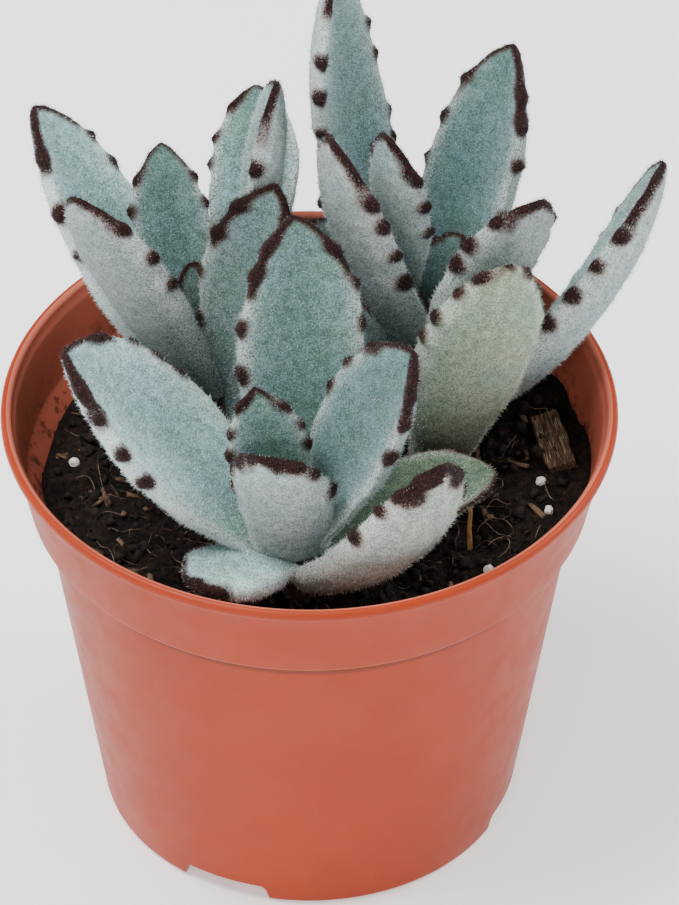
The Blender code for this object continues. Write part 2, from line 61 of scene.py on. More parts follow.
AIM_HEIGHT = 0.08216
VIEW_PAN, VIEW_TILT, VIEW_ROLL = -0.0024, -0.0036, -0.0009
LENS = 499.17  # millimetres on a 36 mm frame height
FLOOR_HALF, FLOOR_CLEARANCE = 6.0, 0.2 * MM
SOFT_LIGHTS = (
    # place from the pot's axis, size, watts, colour
    ((-0.55, -0.10, 1.40), 0.8, 30.0, (1.0, 0.99, 0.97)),
    ((0.95, 0.30, 0.95), 0.7, 12.0, (0.93, 0.97, 1.0)),
    ((-0.35, -1.30, 0.75), 0.9, 8.0, (1.0, 0.98, 0.96)),
)
SKY_STRENGTH = 0.55
FLOOR_GLOW = 0.45  # the light table under the paper
FLOOR_COLOUR, WHITE = (0.93, 0.93, 0.93, 1), (1, 1, 1, 1)


def placed(name, data):
    """A new object of that mesh, lamp or camera, standing in the scene."""
    made = bpy.data.objects.new(name, data)
    bpy.context.scene.collection.objects.link(made)
    return made


def plug(tree, socket, value):
    """Links a node's input to another node's output, or sets it to a plain value."""
    if isinstance(value, bpy.types.NodeSocket):
        tree.links.new(value, socket)
    else:
        socket.default_value = value


def feed(tree, node, **inputs):
    """Plugs a node's inputs by name. An underscore in a name stands for a space."""
    for name, value in inputs.items():
        plug(tree, node.inputs[name.replace("_", " ")], value)
    return node


def stand_camera():
    right = Vector((1, 0, 0))
    upward = Vector((0, math.sin(VIEW_RISE), math.cos(VIEW_RISE)))
    axes = [right, upward, Vector((0, math.cos(VIEW_RISE), -math.sin(VIEW_RISE)))]
    for about, angle in ((1, VIEW_PAN), (0, VIEW_TILT), (2, VIEW_ROLL)):
        turn = Matrix.Rotation(angle, 3, axes[about])
        axes = [axis if at == about else turn @ axis for at, axis in enumerate(axes)]
    right, upward, forward = axes
    data = bpy.data.cameras.new("studio camera")
    data.lens = LENS
    data.sensor_width = 36
    data.clip_end = 20
    camera = placed("studio camera", data)
    place = POT_AXIS + Vector(
        (0, -VIEW_DISTANCE * math.cos(VIEW_RISE), VIEW_DISTANCE * math.sin(VIEW_RISE) + AIM_HEIGHT)
    )
    basis = Matrix((right, upward, -forward)).transposed()
    camera.matrix_world = Matrix.Translation(place) @ basis.to_4x4()
    bpy.context.scene.camera = camera


def hang_lights():
    for number, (offset, size, watts, colour) in enumerate(SOFT_LIGHTS, 1):
        data = bpy.data.lights.new(f"softbox {number}", "AREA")
        data.shape = "DISK"
        data.size = size
        data.energy = watts
        data.color = colour
        light = placed(f"softbox {number}", data)
        place = POT_AXIS + Vector(offset)
        aim = POT_AXIS + Vector((0, 0, AIM_HEIGHT)) - place
        light.matrix_world = Matrix.Translation(place) @ aim.to_track_quat("-Z", "Y").to_matrix().to_4x4()
    sky = bpy.data.worlds.new("studio sky")
    sky.use_nodes = True
    feed(sky.node_tree, sky.node_tree.nodes["Background"], Color=WHITE, Strength=SKY_STRENGTH)
    bpy.context.scene.world = sky


def deselect_all():
    if bpy.context.mode != "OBJECT":
        bpy.ops.object.mode_set(mode="OBJECT")
    bpy.ops.object.select_all(action="DESELECT")


def modelled(name, primitive, location=(0, 0, 0), **settings):
    """A new piece begun as one of Blender's primitives."""
    deselect_all()
    primitive(location=location, **settings)
    bpy.context.object.name = name
    return bpy.context.object


def lay_floor():
    under = (POT_AXIS.x, POT_AXIS.y, -FLOOR_CLEARANCE)
    floor = modelled("studio_floor", bpy.ops.mesh.primitive_plane_add, under, size=FLOOR_HALF * 2)
    bpy.ops.object.transform_apply(location=True, rotation=True, scale=True)
    paper = bpy.data.materials.new("studio paper")
    paper.use_nodes = True
    shader = paper.node_tree.nodes["Principled BSDF"]
    feed(paper.node_tree, shader, Base_Color=FLOOR_COLOUR, Roughness=0.9)
    feed(paper.node_tree, shader, Emission_Color=WHITE, Emission_Strength=FLOOR_GLOW)
    floor.data.materials.append(paper)


stand_camera()
hang_lights()
lay_floor()


# A round nursery pot injection-moulded from terracotta-coloured polypropylene: a rounded lip, a collar that
# pots stack on, a plain tapered body, four notches in the foot ring, drain holes, and the gate's nub under
# the floor.
RIM_RADIUS, RIM_HEIGHT = 52.5 * MM, 82.0 * MM
LIP_WIDTH, LIP_DEPTH = 1.9 * MM, 2.0 * MM
COLLAR_TOP_RADIUS, COLLAR_DEPTH, COLLAR_FOOT_RADIUS = 51.0 * MM, 17.0 * MM, 47.9 * MM
BODY_TOP_RADIUS, SHOULDER, FOOT_RADIUS = 45.4 * MM, 1.1 * MM, 35.4 * MM
WALL, FOOT_WALL = 1.1 * MM, 1.6 * MM
FLOOR_UNDERSIDE, FLOOR_THICKNESS, FLOOR_ROUND = 3.6 * MM, 1.2 * MM, 1.2 * MM
NOTCH_TURNS = (66.0, 163.5, 246.0, 343.5)
NOTCH_WIDTH, NOTCH_FLARE, NOTCH_HEIGHT, NOTCH_REACH = 14.6 * MM, 1.5 * MM, 3.4 * MM, 5.0 * MM
NOTCH_ROUND = 0.9 * MM
DRAIN_TURNS = (20.0, 110.0, 200.0, 290.0)
DRAIN_RADIUS, DRAIN_RING = 4.0 * MM, 21.0 * MM
POT_STEPS = 160
MERGE_REACH = 0.004 * MM
SMEAR_FROM, SMEAR_FULL = 77 * MM, 67 * MM  # soil is smeared on the inside below these


def add_node(tree, kind, settings=None, **inputs):
    """A new shader node with its settings made and its inputs plugged."""
    made = tree.nodes.new(kind)
    for name, value in (settings or {}).items():
        setattr(made, name, value)
    return feed(tree, made, **inputs)


def mixed(tree, share, first, second, blend="MIX"):
    """Two colours mixed by a share: each may be a socket or an (r, g, b) tuple."""
    made = add_node(tree, "ShaderNodeMix", {"data_type": "RGBA", "blend_type": blend})
    for index, value in ((0, share), (6, first), (7, second)):
        plug(tree, made.inputs[index], (*value, 1) if isinstance(value, tuple) else value)
    return made.outputs[2]


def tinged(tree, colour, by):
    return mixed(tree, 1.0, colour, by, "MULTIPLY")


def stepped(tree, value, start, end, to_low=0.0, to_high=1.0):
    """A number that runs smoothly from to_low to to_high while value goes from start to end."""
    ends = {"From_Min": start, "From_Max": end, "To_Min": to_low, "To_Max": to_high}
    smooth = {"interpolation_type": "SMOOTHSTEP"}
    return add_node(tree, "ShaderNodeMapRange", smooth, Value=value, **ends).outputs[0]


def grainy(tree, where, size, detail=4.0, roughness=0.55, distortion=0.0):
    """Noise whose features are about size metres across."""
    settings = {"Scale": 1 / size, "Detail": detail, "Roughness": roughness, "Distortion": distortion}
    return add_node(tree, "ShaderNodeTexNoise", None, Vector=where, **settings).outputs["Fac"]


def above_floor(tree, where):
    return add_node(tree, "ShaderNodeSeparateXYZ", None, Vector=where).outputs["Z"]


def scaled(tree, where, factors, turn=(0, 0, 0)):
    return add_node(tree, "ShaderNodeMapping", None, Vector=where, Scale=factors, Rotation=turn).outputs[0]


def worked(tree, operation, first, second=0.5, kind="ShaderNodeMath", output="Value"):
    """Two numbers, or with kind "ShaderNodeVectorMath" two vectors, put through one operation."""
    made = add_node(tree, kind, {"operation": operation})
    for index, value in enumerate((first, second)):
        plug(tree, made.inputs[index], value)
    return made.outputs[output]


def product(tree, first, second):
    return worked(tree, "MULTIPLY", first, second)


def banded(tree, value, rise, fall):
    """1 between two slopes, each given as the pair of values it runs between, and 0 outside them."""
    return product(tree, stepped(tree, value, *rise), stepped(tree, value, *fall))


def raised(tree, height, depth, strength=1.0, under=None):
    """A bump whose full height is depth metres, over another bump if one is given."""
    made = add_node(tree, "ShaderNodeBump", None, Height=height, Distance=depth, Strength=strength)
    if under is not None:
        tree.links.new(under, made.inputs["Normal"])
    return made.outputs[0]


def new_material(name, roughness, specular, **inputs):
    """(material, node tree, shader, Object coordinates) for a finish that is built up node by node."""
    material = bpy.data.materials.new(name)
    material.use_nodes = True
    tree = material.node_tree
    shader = tree.nodes["Principled BSDF"]
    feed(tree, shader, Roughness=roughness, Specular_IOR_Level=specular, **inputs)
    where = tree.nodes.new("ShaderNodeTexCoord").outputs["Object"]
    return material, tree, shader, where


def inner_wall():
    """The pot's inside as (radius, height) pairs, from the middle of the floor up to the lip."""
    collar_foot = RIM_HEIGHT - COLLAR_DEPTH
    body_top = collar_foot - SHOULDER
    slope = (BODY_TOP_RADIUS - FOOT_RADIUS) / body_top
    floor_top = FLOOR_UNDERSIDE + FLOOR_THICKNESS
    shoulder = collar_foot + WALL * 2.4
    return [
        (0, floor_top),
        (FOOT_RADIUS + slope * floor_top - WALL - FLOOR_ROUND, floor_top),
        (FOOT_RADIUS + slope * (floor_top + FLOOR_ROUND) - WALL, floor_top + FLOOR_ROUND),
        (BODY_TOP_RADIUS - WALL, body_top),
        (COLLAR_FOOT_RADIUS - WALL, shoulder),
        (COLLAR_FOOT_RADIUS - WALL + 1.3 * MM, shoulder + 1.6 * MM),
        (COLLAR_TOP_RADIUS - WALL, RIM_HEIGHT - LIP_DEPTH * 1.2),
    ]


def wall_radius(height):
    wall = inner_wall()[2:]
    return float(np.interp(height, [point[1] for point in wall], [point[0] for point in wall]))


def eased(points, radius, steps=3):
    """A profile with each of its inner corners rounded off to about that radius."""
    out = [points[0]]
    for before, corner, after in zip(points, points[1:], points[2:]):
        a, c, b = Vector(before), Vector(corner), Vector(after)
        reach = min(radius, (a - c).length * 0.45, (b - c).length * 0.45)
        start, end = c + (a - c).normalized() * reach, c + (b - c).normalized() * reach
        for step in range(steps + 1):
            t = step / steps
            out.append(tuple(start * (1 - t) ** 2 + c * 2 * t * (1 - t) + end * t * t))
    return [*out, points[-1]]


def filled_in(points, longest):
    """The same profile with its long stretches divided."""
    out = [points[0]]
    for first, second in zip(points, points[1:]):
        parts = max(1, math.ceil(math.dist(first, second) / longest))
        out += [
            tuple(a + (b - a) * part / parts for a, b in zip(first, second)) for part in range(1, parts + 1)
        ]
    return out


def reshape(operator, **settings):
    """One mesh operator on the whole of the active piece."""
    bpy.ops.object.mode_set(mode="EDIT")
    bpy.ops.mesh.select_all(action="SELECT")
    operator(**settings)
    bpy.ops.object.mode_set(mode="OBJECT")


def turned(name, profile, steps):
    """A closed profile of (radius, height) pairs spun round the pot's axis into one closed skin."""
    deselect_all()
    mesh = bpy.data.meshes.new(name)
    points = [(POT_AXIS.x + radius, POT_AXIS.y, height) for radius, height in profile]
    mesh.from_pydata(points, [(at, at + 1) for at in range(len(points) - 1)], [])
    piece = placed(name, mesh)
    bpy.context.view_layer.objects.active = piece
    piece.select_set(True)
    reshape(bpy.ops.mesh.spin, steps=steps, angle=math.tau, center=POT_AXIS, axis=(0, 0, 1))
    reshape(bpy.ops.mesh.remove_doubles, threshold=MERGE_REACH)
    reshape(bpy.ops.mesh.normals_make_consistent, inside=False)
    return piece


def cut_away(piece, cutter):
    deselect_all()
    hole = piece.modifiers.new("hole", "BOOLEAN")
    hole.operation = "DIFFERENCE"
    hole.solver = "EXACT"
    hole.object = cutter
    bpy.context.view_layer.objects.active = piece
    bpy.ops.object.modifier_apply(modifier=hole.name)
    bpy.data.objects.remove(cutter)


def finished(piece, material, nodes=(), smooth=40):
    """Gives a piece its finish and its place in the frame."""
    deselect_all()
    piece.data.materials.clear()
    piece.data.materials.append(material)
    bpy.context.view_layer.objects.active = piece
    piece.select_set(True)
    if smooth:
        bpy.ops.object.shade_smooth_by_angle(angle=math.radians(smooth))
    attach(piece, "root")
    if nodes:
        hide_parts(*nodes)
    piece.select_set(False)
    return piece


def pot_outline():
    collar_foot = RIM_HEIGHT - COLLAR_DEPTH
    body_top = collar_foot - SHOULDER
    slope = (BODY_TOP_RADIUS - FOOT_RADIUS) / body_top
    lip_radius = RIM_RADIUS - LIP_WIDTH * 0.5
    lip = [
        (lip_radius + LIP_WIDTH * 0.5 * math.cos(turn), RIM_HEIGHT - LIP_DEPTH * 0.5 * (1 - math.sin(turn)))
        for turn in (math.pi / 2 - step * math.pi / 16 for step in range(9))
    ]
    outside = [
        (RIM_RADIUS - 0.1 * MM, RIM_HEIGHT - LIP_DEPTH * 0.85),
        (RIM_RADIUS - 0.7 * MM, RIM_HEIGHT - LIP_DEPTH * 1.1),
        (COLLAR_TOP_RADIUS, RIM_HEIGHT - LIP_DEPTH * 1.3),
        (COLLAR_FOOT_RADIUS + 0.15 * MM, collar_foot + 0.5 * MM),
        (COLLAR_FOOT_RADIUS - 0.25 * MM, collar_foot),
        (BODY_TOP_RADIUS + 0.2 * MM, body_top + 0.2 * MM),
        (BODY_TOP_RADIUS, body_top - 0.5 * MM),
        (FOOT_RADIUS + slope * 0.6 * MM, 0.6 * MM),
        (FOOT_RADIUS - 0.4 * MM, 0),
        (FOOT_RADIUS - FOOT_WALL, 0),
        (FOOT_RADIUS - FOOT_WALL + 0.1 * MM, FLOOR_UNDERSIDE - 0.4 * MM),
        (FOOT_RADIUS - FOOT_WALL - 0.5 * MM, FLOOR_UNDERSIDE),
        (3.0 * MM, FLOOR_UNDERSIDE),
        (2.6 * MM, FLOOR_UNDERSIDE - 0.5 * MM),
        (0, FLOOR_UNDERSIDE - 0.5 * MM),
    ]
    inside = [*inner_wall(), (RIM_RADIUS - LIP_WIDTH, RIM_HEIGHT - LIP_DEPTH * 0.5)]
    back = [(2 * lip_radius - radius, height) for radius, height in reversed(lip)]
    outer = eased([lip[-1], *outside], 0.35 * MM)
    inner = eased([*inside, back[0]], 0.5 * MM)
    return filled_in([*lip[:-1], *outer, *inner[:-1], *back], 4 * MM)


def pot_plastic():
    """Semi-matt plastic: a fine moulded grain, faint rubs, a painted highlight on the collar's lower edge
    with painted shade just under it, an inside wall painted paler as painted light, soil smeared inside.
    """
    material, tree, shader, where = new_material("pot plastic", 0.42, 0.18)
    cloud = grainy(tree, where, 22 * MM, 3)
    speck = grainy(tree, where, 0.35 * MM, 2)
    colour = mixed(tree, stepped(tree, cloud, 0.25, 0.75), (0.335, 0.037, 0.008), (0.305, 0.031, 0.007))
    colour = mixed(tree, stepped(tree, speck, 0.58, 0.72, 0, 0.25), colour, (0.38, 0.070, 0.028))
    rubs = grainy(tree, scaled(tree, where, (1, 1, 0.12)), 1.6 * MM, 5, 0.7)
    colour = mixed(tree, stepped(tree, rubs, 0.62, 0.72, 0, 0.14), colour, (0.42, 0.10, 0.045))
    height = above_floor(tree, where)
    collar_foot = RIM_HEIGHT - COLLAR_DEPTH
    edge = (collar_foot - 0.1 * MM, collar_foot + 0.1 * MM)
    # Painted highlight: a thin paler band along the collar's lower edge.
    collar_edge_highlight = banded(tree, height, edge, (collar_foot + 0.7 * MM, collar_foot + 0.3 * MM))
    colour = mixed(tree, product(tree, collar_edge_highlight, 0.45), colour, (0.46, 0.10, 0.042))
    # Painted shade: a dark band on the body just under the collar's overhang.
    collar_shade = banded(tree, height, (collar_foot - 3.7 * MM, collar_foot - 2.6 * MM), edge[::-1])
    colour = mixed(tree, product(tree, collar_shade, 0.7), colour, (0.12, 0.020, 0.009))
    vectors = "ShaderNodeVectorMath"
    away = worked(tree, "SUBTRACT", where, POT_AXIS, vectors, "Vector")
    level = worked(tree, "MULTIPLY", away, (1, 1, 0), vectors, "Vector")
    normal = tree.nodes.new("ShaderNodeNewGeometry").outputs["True Normal"]
    inside = stepped(tree, worked(tree, "DOT_PRODUCT", level, normal, vectors), 0, -2 * MM)
    # Painted light: the inner wall is painted paler than the outside, for the light it gathers inside the
    # pot.
    colour = mixed(tree, product(tree, inside, 0.78), colour, (0.52, 0.145, 0.095))
    smear = stepped(tree, grainy(tree, where, 2.2 * MM, 6, 0.7), 0.50, 0.62)
    nearby = stepped(tree, height, SMEAR_FROM, SMEAR_FULL)
    soiled = product(tree, product(tree, smear, nearby), inside)
    colour = mixed(tree, product(tree, soiled, 0.75), colour, (0.045, 0.022, 0.014))
    gloss = stepped(tree, grainy(tree, where, 6 * MM, 4), 0.3, 0.7, 0.38, 0.48)
    bump = raised(tree, grainy(tree, where, 0.5 * MM, 3), 0.02 * MM, 0.35)
    bump = raised(tree, grainy(tree, where, 5 * MM, 2), 0.12 * MM, 0.15, bump)
    feed(tree, shader, Base_Color=colour, Roughness=gloss, Normal=bump)
    return material


def build_pot():
    pot = turned("nursery_pot", pot_outline(), POT_STEPS)
    for turn in NOTCH_TURNS:
        cutter = modelled("notch", bpy.ops.mesh.primitive_cube_add, size=2)
        for corner in cutter.data.vertices:
            low = corner.co.z < 0
            half = NOTCH_WIDTH / 2 + (NOTCH_FLARE if low else 0)
            reach = math.copysign(NOTCH_REACH, corner.co.x)
            across, upward = math.copysign(half, corner.co.y), math.copysign(NOTCH_HEIGHT, corner.co.z)
            corner.co = (FOOT_RADIUS + reach, across, upward)
        reshape(bpy.ops.mesh.bevel, offset=NOTCH_ROUND, segments=3, affect="EDGES")
        cutter.matrix_world = Matrix.Translation(POT_AXIS) @ Matrix.Rotation(math.radians(turn), 4, "Z")
        cut_away(pot, cutter)
    for turn in DRAIN_TURNS:
        spot = Matrix.Rotation(math.radians(turn), 3, "Z") @ Vector((DRAIN_RING, 0, FLOOR_UNDERSIDE))
        settings = {"vertices": 40, "radius": DRAIN_RADIUS, "depth": FLOOR_UNDERSIDE * 2}
        cut_away(pot, modelled("drain", bpy.ops.mesh.primitive_cylinder_add, POT_AXIS + spot, **settings))
    finished(pot, pot_plastic(), ("pot",), 35)


build_pot()


# Dark peat, pressed down around the stems and a little higher on the right: a rough crust that falls away
# at the pot's wall, over the plug of soil that fills the pot. It was filled by hand, so its top is lumpy
# all over.
SOIL_LEVEL, SOIL_RISE, SOIL_RISE_FROM, SOIL_RISE_RUN = 66.3 * MM, 3.6 * MM, 16.0 * MM, 28.0 * MM
SOIL_LUMP = 0.5 * MM
SOIL_GAP = 0.15 * MM
SOIL_RINGS, SOIL_STEPS = 104, 240
# size and depth of each kind of clod
CLODS = ((7.0 * MM, 0.85 * MM), (3.2 * MM, 0.85 * MM), (1.6 * MM, 0.55 * MM), (0.7 * MM, 0.20 * MM))


def soil_height(x, y):
    """Top of the soil over a point given from the pot's axis: level, rising to the right, with low lumps."""
    rise = min(max((x - SOIL_RISE_FROM) / SOIL_RISE_RUN, 0), 1)
    lumps = math.sin(x * 310 + 1.3) * math.cos(y * 270 - 0.4) + 0.7 * math.sin(x * 170 - y * 390 + 2.1)
    return SOIL_LEVEL + SOIL_RISE * rise * rise * (3 - 2 * rise) + SOIL_LUMP * lumps


def clod_height(x, y):
    """The rough crust over the soil's mean level."""
    return sum(depth * noise.noise(Vector((x / size, y / size, size * 9000))) for size, depth in CLODS)


def soil_surface(x, y):
    return soil_height(x, y) + clod_height(x, y)


def stored(tree, layer, output="Fac"):
    """What a mesh holds for its material in one of its layers."""
    return add_node(tree, "ShaderNodeAttribute", {"attribute_name": layer}).outputs[output]


def peat():
    """Damp peat: near black between its brown crumbs, with paler fibre through it, and painted shade that
    turns the hollows of its crust near black.
    """
    material, tree, shader, where = new_material("peat", 0.90, 0.2)
    crust = stored(tree, "crust")
    crumb = grainy(tree, where, 1.1 * MM, 6, 0.65)
    colour = mixed(tree, stepped(tree, crumb, 0.38, 0.66), (0.0025, 0.0015, 0.001), (0.019, 0.010, 0.0065))
    fibre = grainy(tree, scaled(tree, where, (1.0, 0.25, 0.6), (0.3, 0.2, 0.9)), 0.5 * MM, 4, 0.6, 1.5)
    colour = mixed(tree, stepped(tree, fibre, 0.60, 0.70, 0, 0.5), colour, (0.085, 0.048, 0.028))
    # Painted shade: the low hollows of the crust are turned near black.
    colour = mixed(tree, stepped(tree, crust, 0.1, 0.55, 0.9, 0), colour, (0.0025, 0.0015, 0.001))
    bump = raised(tree, crumb, 0.6 * MM, 0.9)
    bump = raised(tree, grainy(tree, where, 0.3 * MM, 4, 0.7), 0.15 * MM, 0.7, bump)
    feed(tree, shader, Base_Color=colour, Normal=bump)
    return material


def build_soil():
    base = FLOOR_UNDERSIDE + FLOOR_THICKNESS + SOIL_GAP
    body_top = RIM_HEIGHT - COLLAR_DEPTH - SHOULDER
    neck = wall_radius(body_top) - SOIL_GAP
    foot = wall_radius(base + FLOOR_ROUND) - SOIL_GAP * 3
    top = [(neck * 0.985 * ring / SOIL_RINGS, SOIL_LEVEL) for ring in range(SOIL_RINGS + 1)]
    side = [(neck, SOIL_LEVEL - drop * MM) for drop in (0.15, 0.5, 1.0)]
    plug = [(neck, body_top), (foot, base + FLOOR_ROUND), (foot - FLOOR_ROUND, base), (0, base)]
    soil = turned("potting_soil", [*top, *side, *filled_in(plug, 8 * MM)], SOIL_STEPS)
    for vertex in soil.data.vertices:
        if vertex.co.z < SOIL_LEVEL - 1.5 * MM:
            continue
        x, y = vertex.co.x - POT_AXIS.x, vertex.co.y - POT_AXIS.y
        reach = math.hypot(x, y)
        if reach > neck * 0.99:
            height = soil_height(x, y) - (SOIL_LEVEL - vertex.co.z) * 2.2 - 0.2 * MM
            spread = (wall_radius(height) - SOIL_GAP) / reach
        else:
            height = soil_surface(x, y)
            widest = (wall_radius(height - 0.3 * MM) - 0.5 * MM) / neck / 0.985
            spread = 1 + (reach / neck) ** 4 * (widest - 1)
        vertex.co = (POT_AXIS.x + x * spread, POT_AXIS.y + y * spread, height)
    crust = soil.data.attributes.new("crust", "FLOAT", "POINT")
    for vertex in soil.data.vertices:
        clod = clod_height(vertex.co.x - POT_AXIS.x, vertex.co.y - POT_AXIS.y)
        crust.data[vertex.index].value = 0.5 + clod / (1.6 * MM)
    finished(soil, peat(), ("soil",), 0)


build_soil()


# Sieved peat sheds crumbs of every size, short splinters of bark, and fine fibres that lie over each other.
# They are loose: each group is one mesh of many small closed pieces, scattered from a fixed seed.
CRUMBS, SPLINTERS, FIBRES = 2400, 150, 300
CRUMB_SMALLEST, CRUMB_SPREAD = 0.25 * MM, 1.25 * MM
CRUMB_REACH, SPLINTER_REACH, FIBRE_REACH, FIBRE_LIMIT = 44 * MM, 42 * MM, 43 * MM, 44 * MM
FIBRE_SIDES, FIBRE_STEPS = 4, 13


def taken_up(piece):
    """Corners and triangles of a piece, which is then taken away: its copies are laid from them."""
    piece.data.calc_loop_triangles()
    corners = np.array([vertex.co[:] for vertex in piece.data.vertices])
    faces = np.array([triangle.vertices[:] for triangle in piece.data.loop_triangles], np.int32)
    bpy.data.objects.remove(piece)
    return corners, faces


def laid_out(name, corners, faces):
    """One object of many copies: corners is copies by corners by 3, and faces are those of one copy."""
    copies, each = corners.shape[:2]
    everyone = (faces[None] + (np.arange(copies, dtype=np.int32) * each)[:, None, None]).reshape(-1, 3)
    mesh = bpy.data.meshes.new(name)
    mesh.vertices.add(copies * each)
    mesh.vertices.foreach_set("co", corners.ravel())
    mesh.loops.add(everyone.size)
    mesh.loops.foreach_set("vertex_index", everyone.ravel())
    mesh.polygons.add(len(everyone))
    mesh.polygons.foreach_set("loop_start", np.arange(0, everyone.size, 3, dtype=np.int32))
    mesh.update(calc_edges=True)
    return placed(name, mesh)


def any_turns(draw, count):
    """Rotations in every direction alike."""
    turns = np.linalg.qr(draw.normal(size=(count, 3, 3)))[0]
    return turns * np.sign(np.linalg.det(turns))[:, None, None]


def scattered(draw, count, reach):
    """Places spread evenly over the soil, from the pot's axis."""
    turn, radius = draw.uniform(0, math.tau, count), reach * np.sqrt(draw.random(count))
    return radius * np.cos(turn), radius * np.sin(turn)


def on_soil(x, y, above):
    """Points that far above the soil, in the pot's place."""
    heights = [soil_surface(*spot) for spot in zip(x, y)]
    return np.stack([x, y, heights + above], -1) + np.array(POT_AXIS)


def litter(name, dark, pale, share):
    """Dry plant litter: each piece its own shade between two colours, streaked along its own patch."""
    material, tree, shader, where = new_material(name, 0.85, 0.3)
    patch = grainy(tree, where, 2.4 * MM, 2)
    colour = mixed(tree, stepped(tree, patch, 0.5 - share, 0.5 + share), dark, pale)
    streak = grainy(tree, where, 0.25 * MM, 3)
    colour = mixed(tree, stepped(tree, streak, 0.4, 0.7, 0, 0.5), colour, dark)
    feed(tree, shader, Base_Color=colour, Normal=raised(tree, streak, 0.08 * MM, 0.6))
    return material


def scatter_crumbs():
    draw = np.random.default_rng(11)
    ball = modelled("crumb", bpy.ops.mesh.primitive_ico_sphere_add, subdivisions=1, radius=1)
    crumb, faces = taken_up(ball)
    size = CRUMB_SMALLEST + CRUMB_SPREAD * draw.random(CRUMBS) ** 4
    shape = crumb * draw.uniform(0.45, 1.35, (CRUMBS, 1, 3))
    shape = shape * draw.uniform(0.6, 1.35, (CRUMBS, len(crumb), 1))
    shape = np.einsum("nij,nkj->nki", any_turns(draw, CRUMBS), shape * size[:, None, None])
    middle = on_soil(*scattered(draw, CRUMBS, CRUMB_REACH), size * 0.25)
    crumbs = laid_out("soil_crumbs", shape + middle[:, None], faces)
    look = litter("peat crumb", (0.0025, 0.0015, 0.001), (0.018, 0.0095, 0.006), 0.20)
    finished(crumbs, look, (), 0)


def scatter_splinters():
    draw = np.random.default_rng(12)
    block = modelled("splinter", bpy.ops.mesh.primitive_cube_add, size=1)
    reshape(bpy.ops.mesh.subdivide, number_cuts=1)
    splinter, faces = taken_up(block)
    length, width = draw.uniform(1.4, 5.5, SPLINTERS) * MM, draw.uniform(0.25, 0.95, SPLINTERS) * MM
    size = np.stack([length, width, width * 0.5], -1)
    ragged = splinter + draw.uniform(-0.16, 0.16, (SPLINTERS, len(splinter), 3)) * (1, 0.8, 0.8)
    turn, lean = draw.uniform(0, math.tau, SPLINTERS), draw.uniform(-0.45, 0.45, SPLINTERS)
    along = np.stack([np.cos(turn) * np.cos(lean), np.sin(turn) * np.cos(lean), np.sin(lean)], -1)
    across = np.stack([-np.sin(turn), np.cos(turn), np.zeros(SPLINTERS)], -1)
    axes = np.stack([along, across, np.cross(along, across)], 1)
    shape = np.einsum("nkj,nji->nki", ragged * size[:, None], axes)
    middle = on_soil(*scattered(draw, SPLINTERS, SPLINTER_REACH), width * 0.35)
    shards = laid_out("bark_splinters", shape + middle[:, None], faces)
    look = litter("bark splinter", (0.024, 0.013, 0.008), (0.15, 0.088, 0.050), 0.12)
    finished(shards, look, (), 0)


def gathered(name, bm):
    """A bmesh of many small pieces, laid out from the pot's axis, as one object."""
    bmesh.ops.recalc_face_normals(bm, faces=bm.faces)
    bmesh.ops.translate(bm, verts=bm.verts, vec=POT_AXIS)
    mesh = bpy.data.meshes.new(name)
    bm.to_mesh(mesh)
    bm.free()
    return placed(name, mesh)


def add_thread(bm, points, radius):
    """A thin closed tube through the points, tapering to its ends."""
    rings = []
    for at, point in enumerate(points):
        ahead = points[min(at + 1, len(points) - 1)] - points[max(at - 1, 0)]
        side = ahead.cross(Vector((0.31, 0.17, 0.93))).normalized()
        other = ahead.cross(side).normalized()
        share = at / (len(points) - 1)
        wide = radius * (0.35 + 0.65 * math.sin(math.pi * min(max(share, 0.06), 0.94)))
        turns = [math.tau * corner / FIBRE_SIDES for corner in range(FIBRE_SIDES)]
        spokes = [(side * math.cos(turn) + other * math.sin(turn)) * wide for turn in turns]
        rings.append([bm.verts.new(point + spoke) for spoke in spokes])
    for first, second in zip(rings, rings[1:]):
        for corner in range(FIBRE_SIDES):
            after = (corner + 1) % FIBRE_SIDES
            bm.faces.new((first[corner], first[after], second[after], second[corner]))
    bm.faces.new(tuple(reversed(rings[0])))
    bm.faces.new(tuple(rings[-1]))


def scatter_fibres():
    draw = random.Random(13)
    bm = bmesh.new()
    for _ in range(FIBRES):
        turn, radius = draw.uniform(0, math.tau), FIBRE_REACH * math.sqrt(draw.random())
        x, y = radius * math.cos(turn), radius * math.sin(turn)
        heading, curl = draw.uniform(0, math.tau), draw.uniform(-0.12, 0.12)
        stride = draw.uniform(0.25, 0.8) * MM
        hump = draw.uniform(0.1, 1.1) * MM
        points = []
        for step in range(FIBRE_STEPS):
            share = step / (FIBRE_STEPS - 1)
            lift = 0.05 * MM + hump * math.sin(math.pi * share) ** 2
            points.append(Vector((x, y, soil_surface(x, y) + lift)))
            curl = max(-0.35, min(0.35, curl + draw.uniform(-0.16, 0.16)))
            heading += curl
            x, y = x + stride * math.cos(heading), y + stride * math.sin(heading)
            if math.hypot(x, y) > FIBRE_LIMIT:
                break
        if len(points) > 4:
            add_thread(bm, points, draw.uniform(0.035, 0.085) * MM)
    look = litter("root fibre", (0.030, 0.017, 0.010), (0.30, 0.21, 0.14), 0.16)
    finished(gathered("root_fibres", bm), look, (), 60)


scatter_crumbs()
scatter_splinters()
scatter_fibres()


# White grains of puffed volcanic glass, mixed into the soil for drainage and half sunk in it. They are
# porous, with rounded corners and small pits, and each one differs.
PERLITE_GRAINS = 8
PERLITE_SWELL, PERLITE_ROUGH, PERLITE_PIT = 0.28, 0.10, 0.45  # shares of a grain's radius


def perlite_stone():
    material, tree, shader, where = new_material("perlite", 0.8, 0.4)
    pits = grainy(tree, where, 0.5 * MM, 5, 0.7)
    colour = mixed(tree, stepped(tree, pits, 0.30, 0.52), (0.36, 0.30, 0.25), (0.80, 0.77, 0.72))
    feed(tree, shader, Base_Color=colour, Normal=raised(tree, pits, 0.18 * MM, 0.9))
    return material


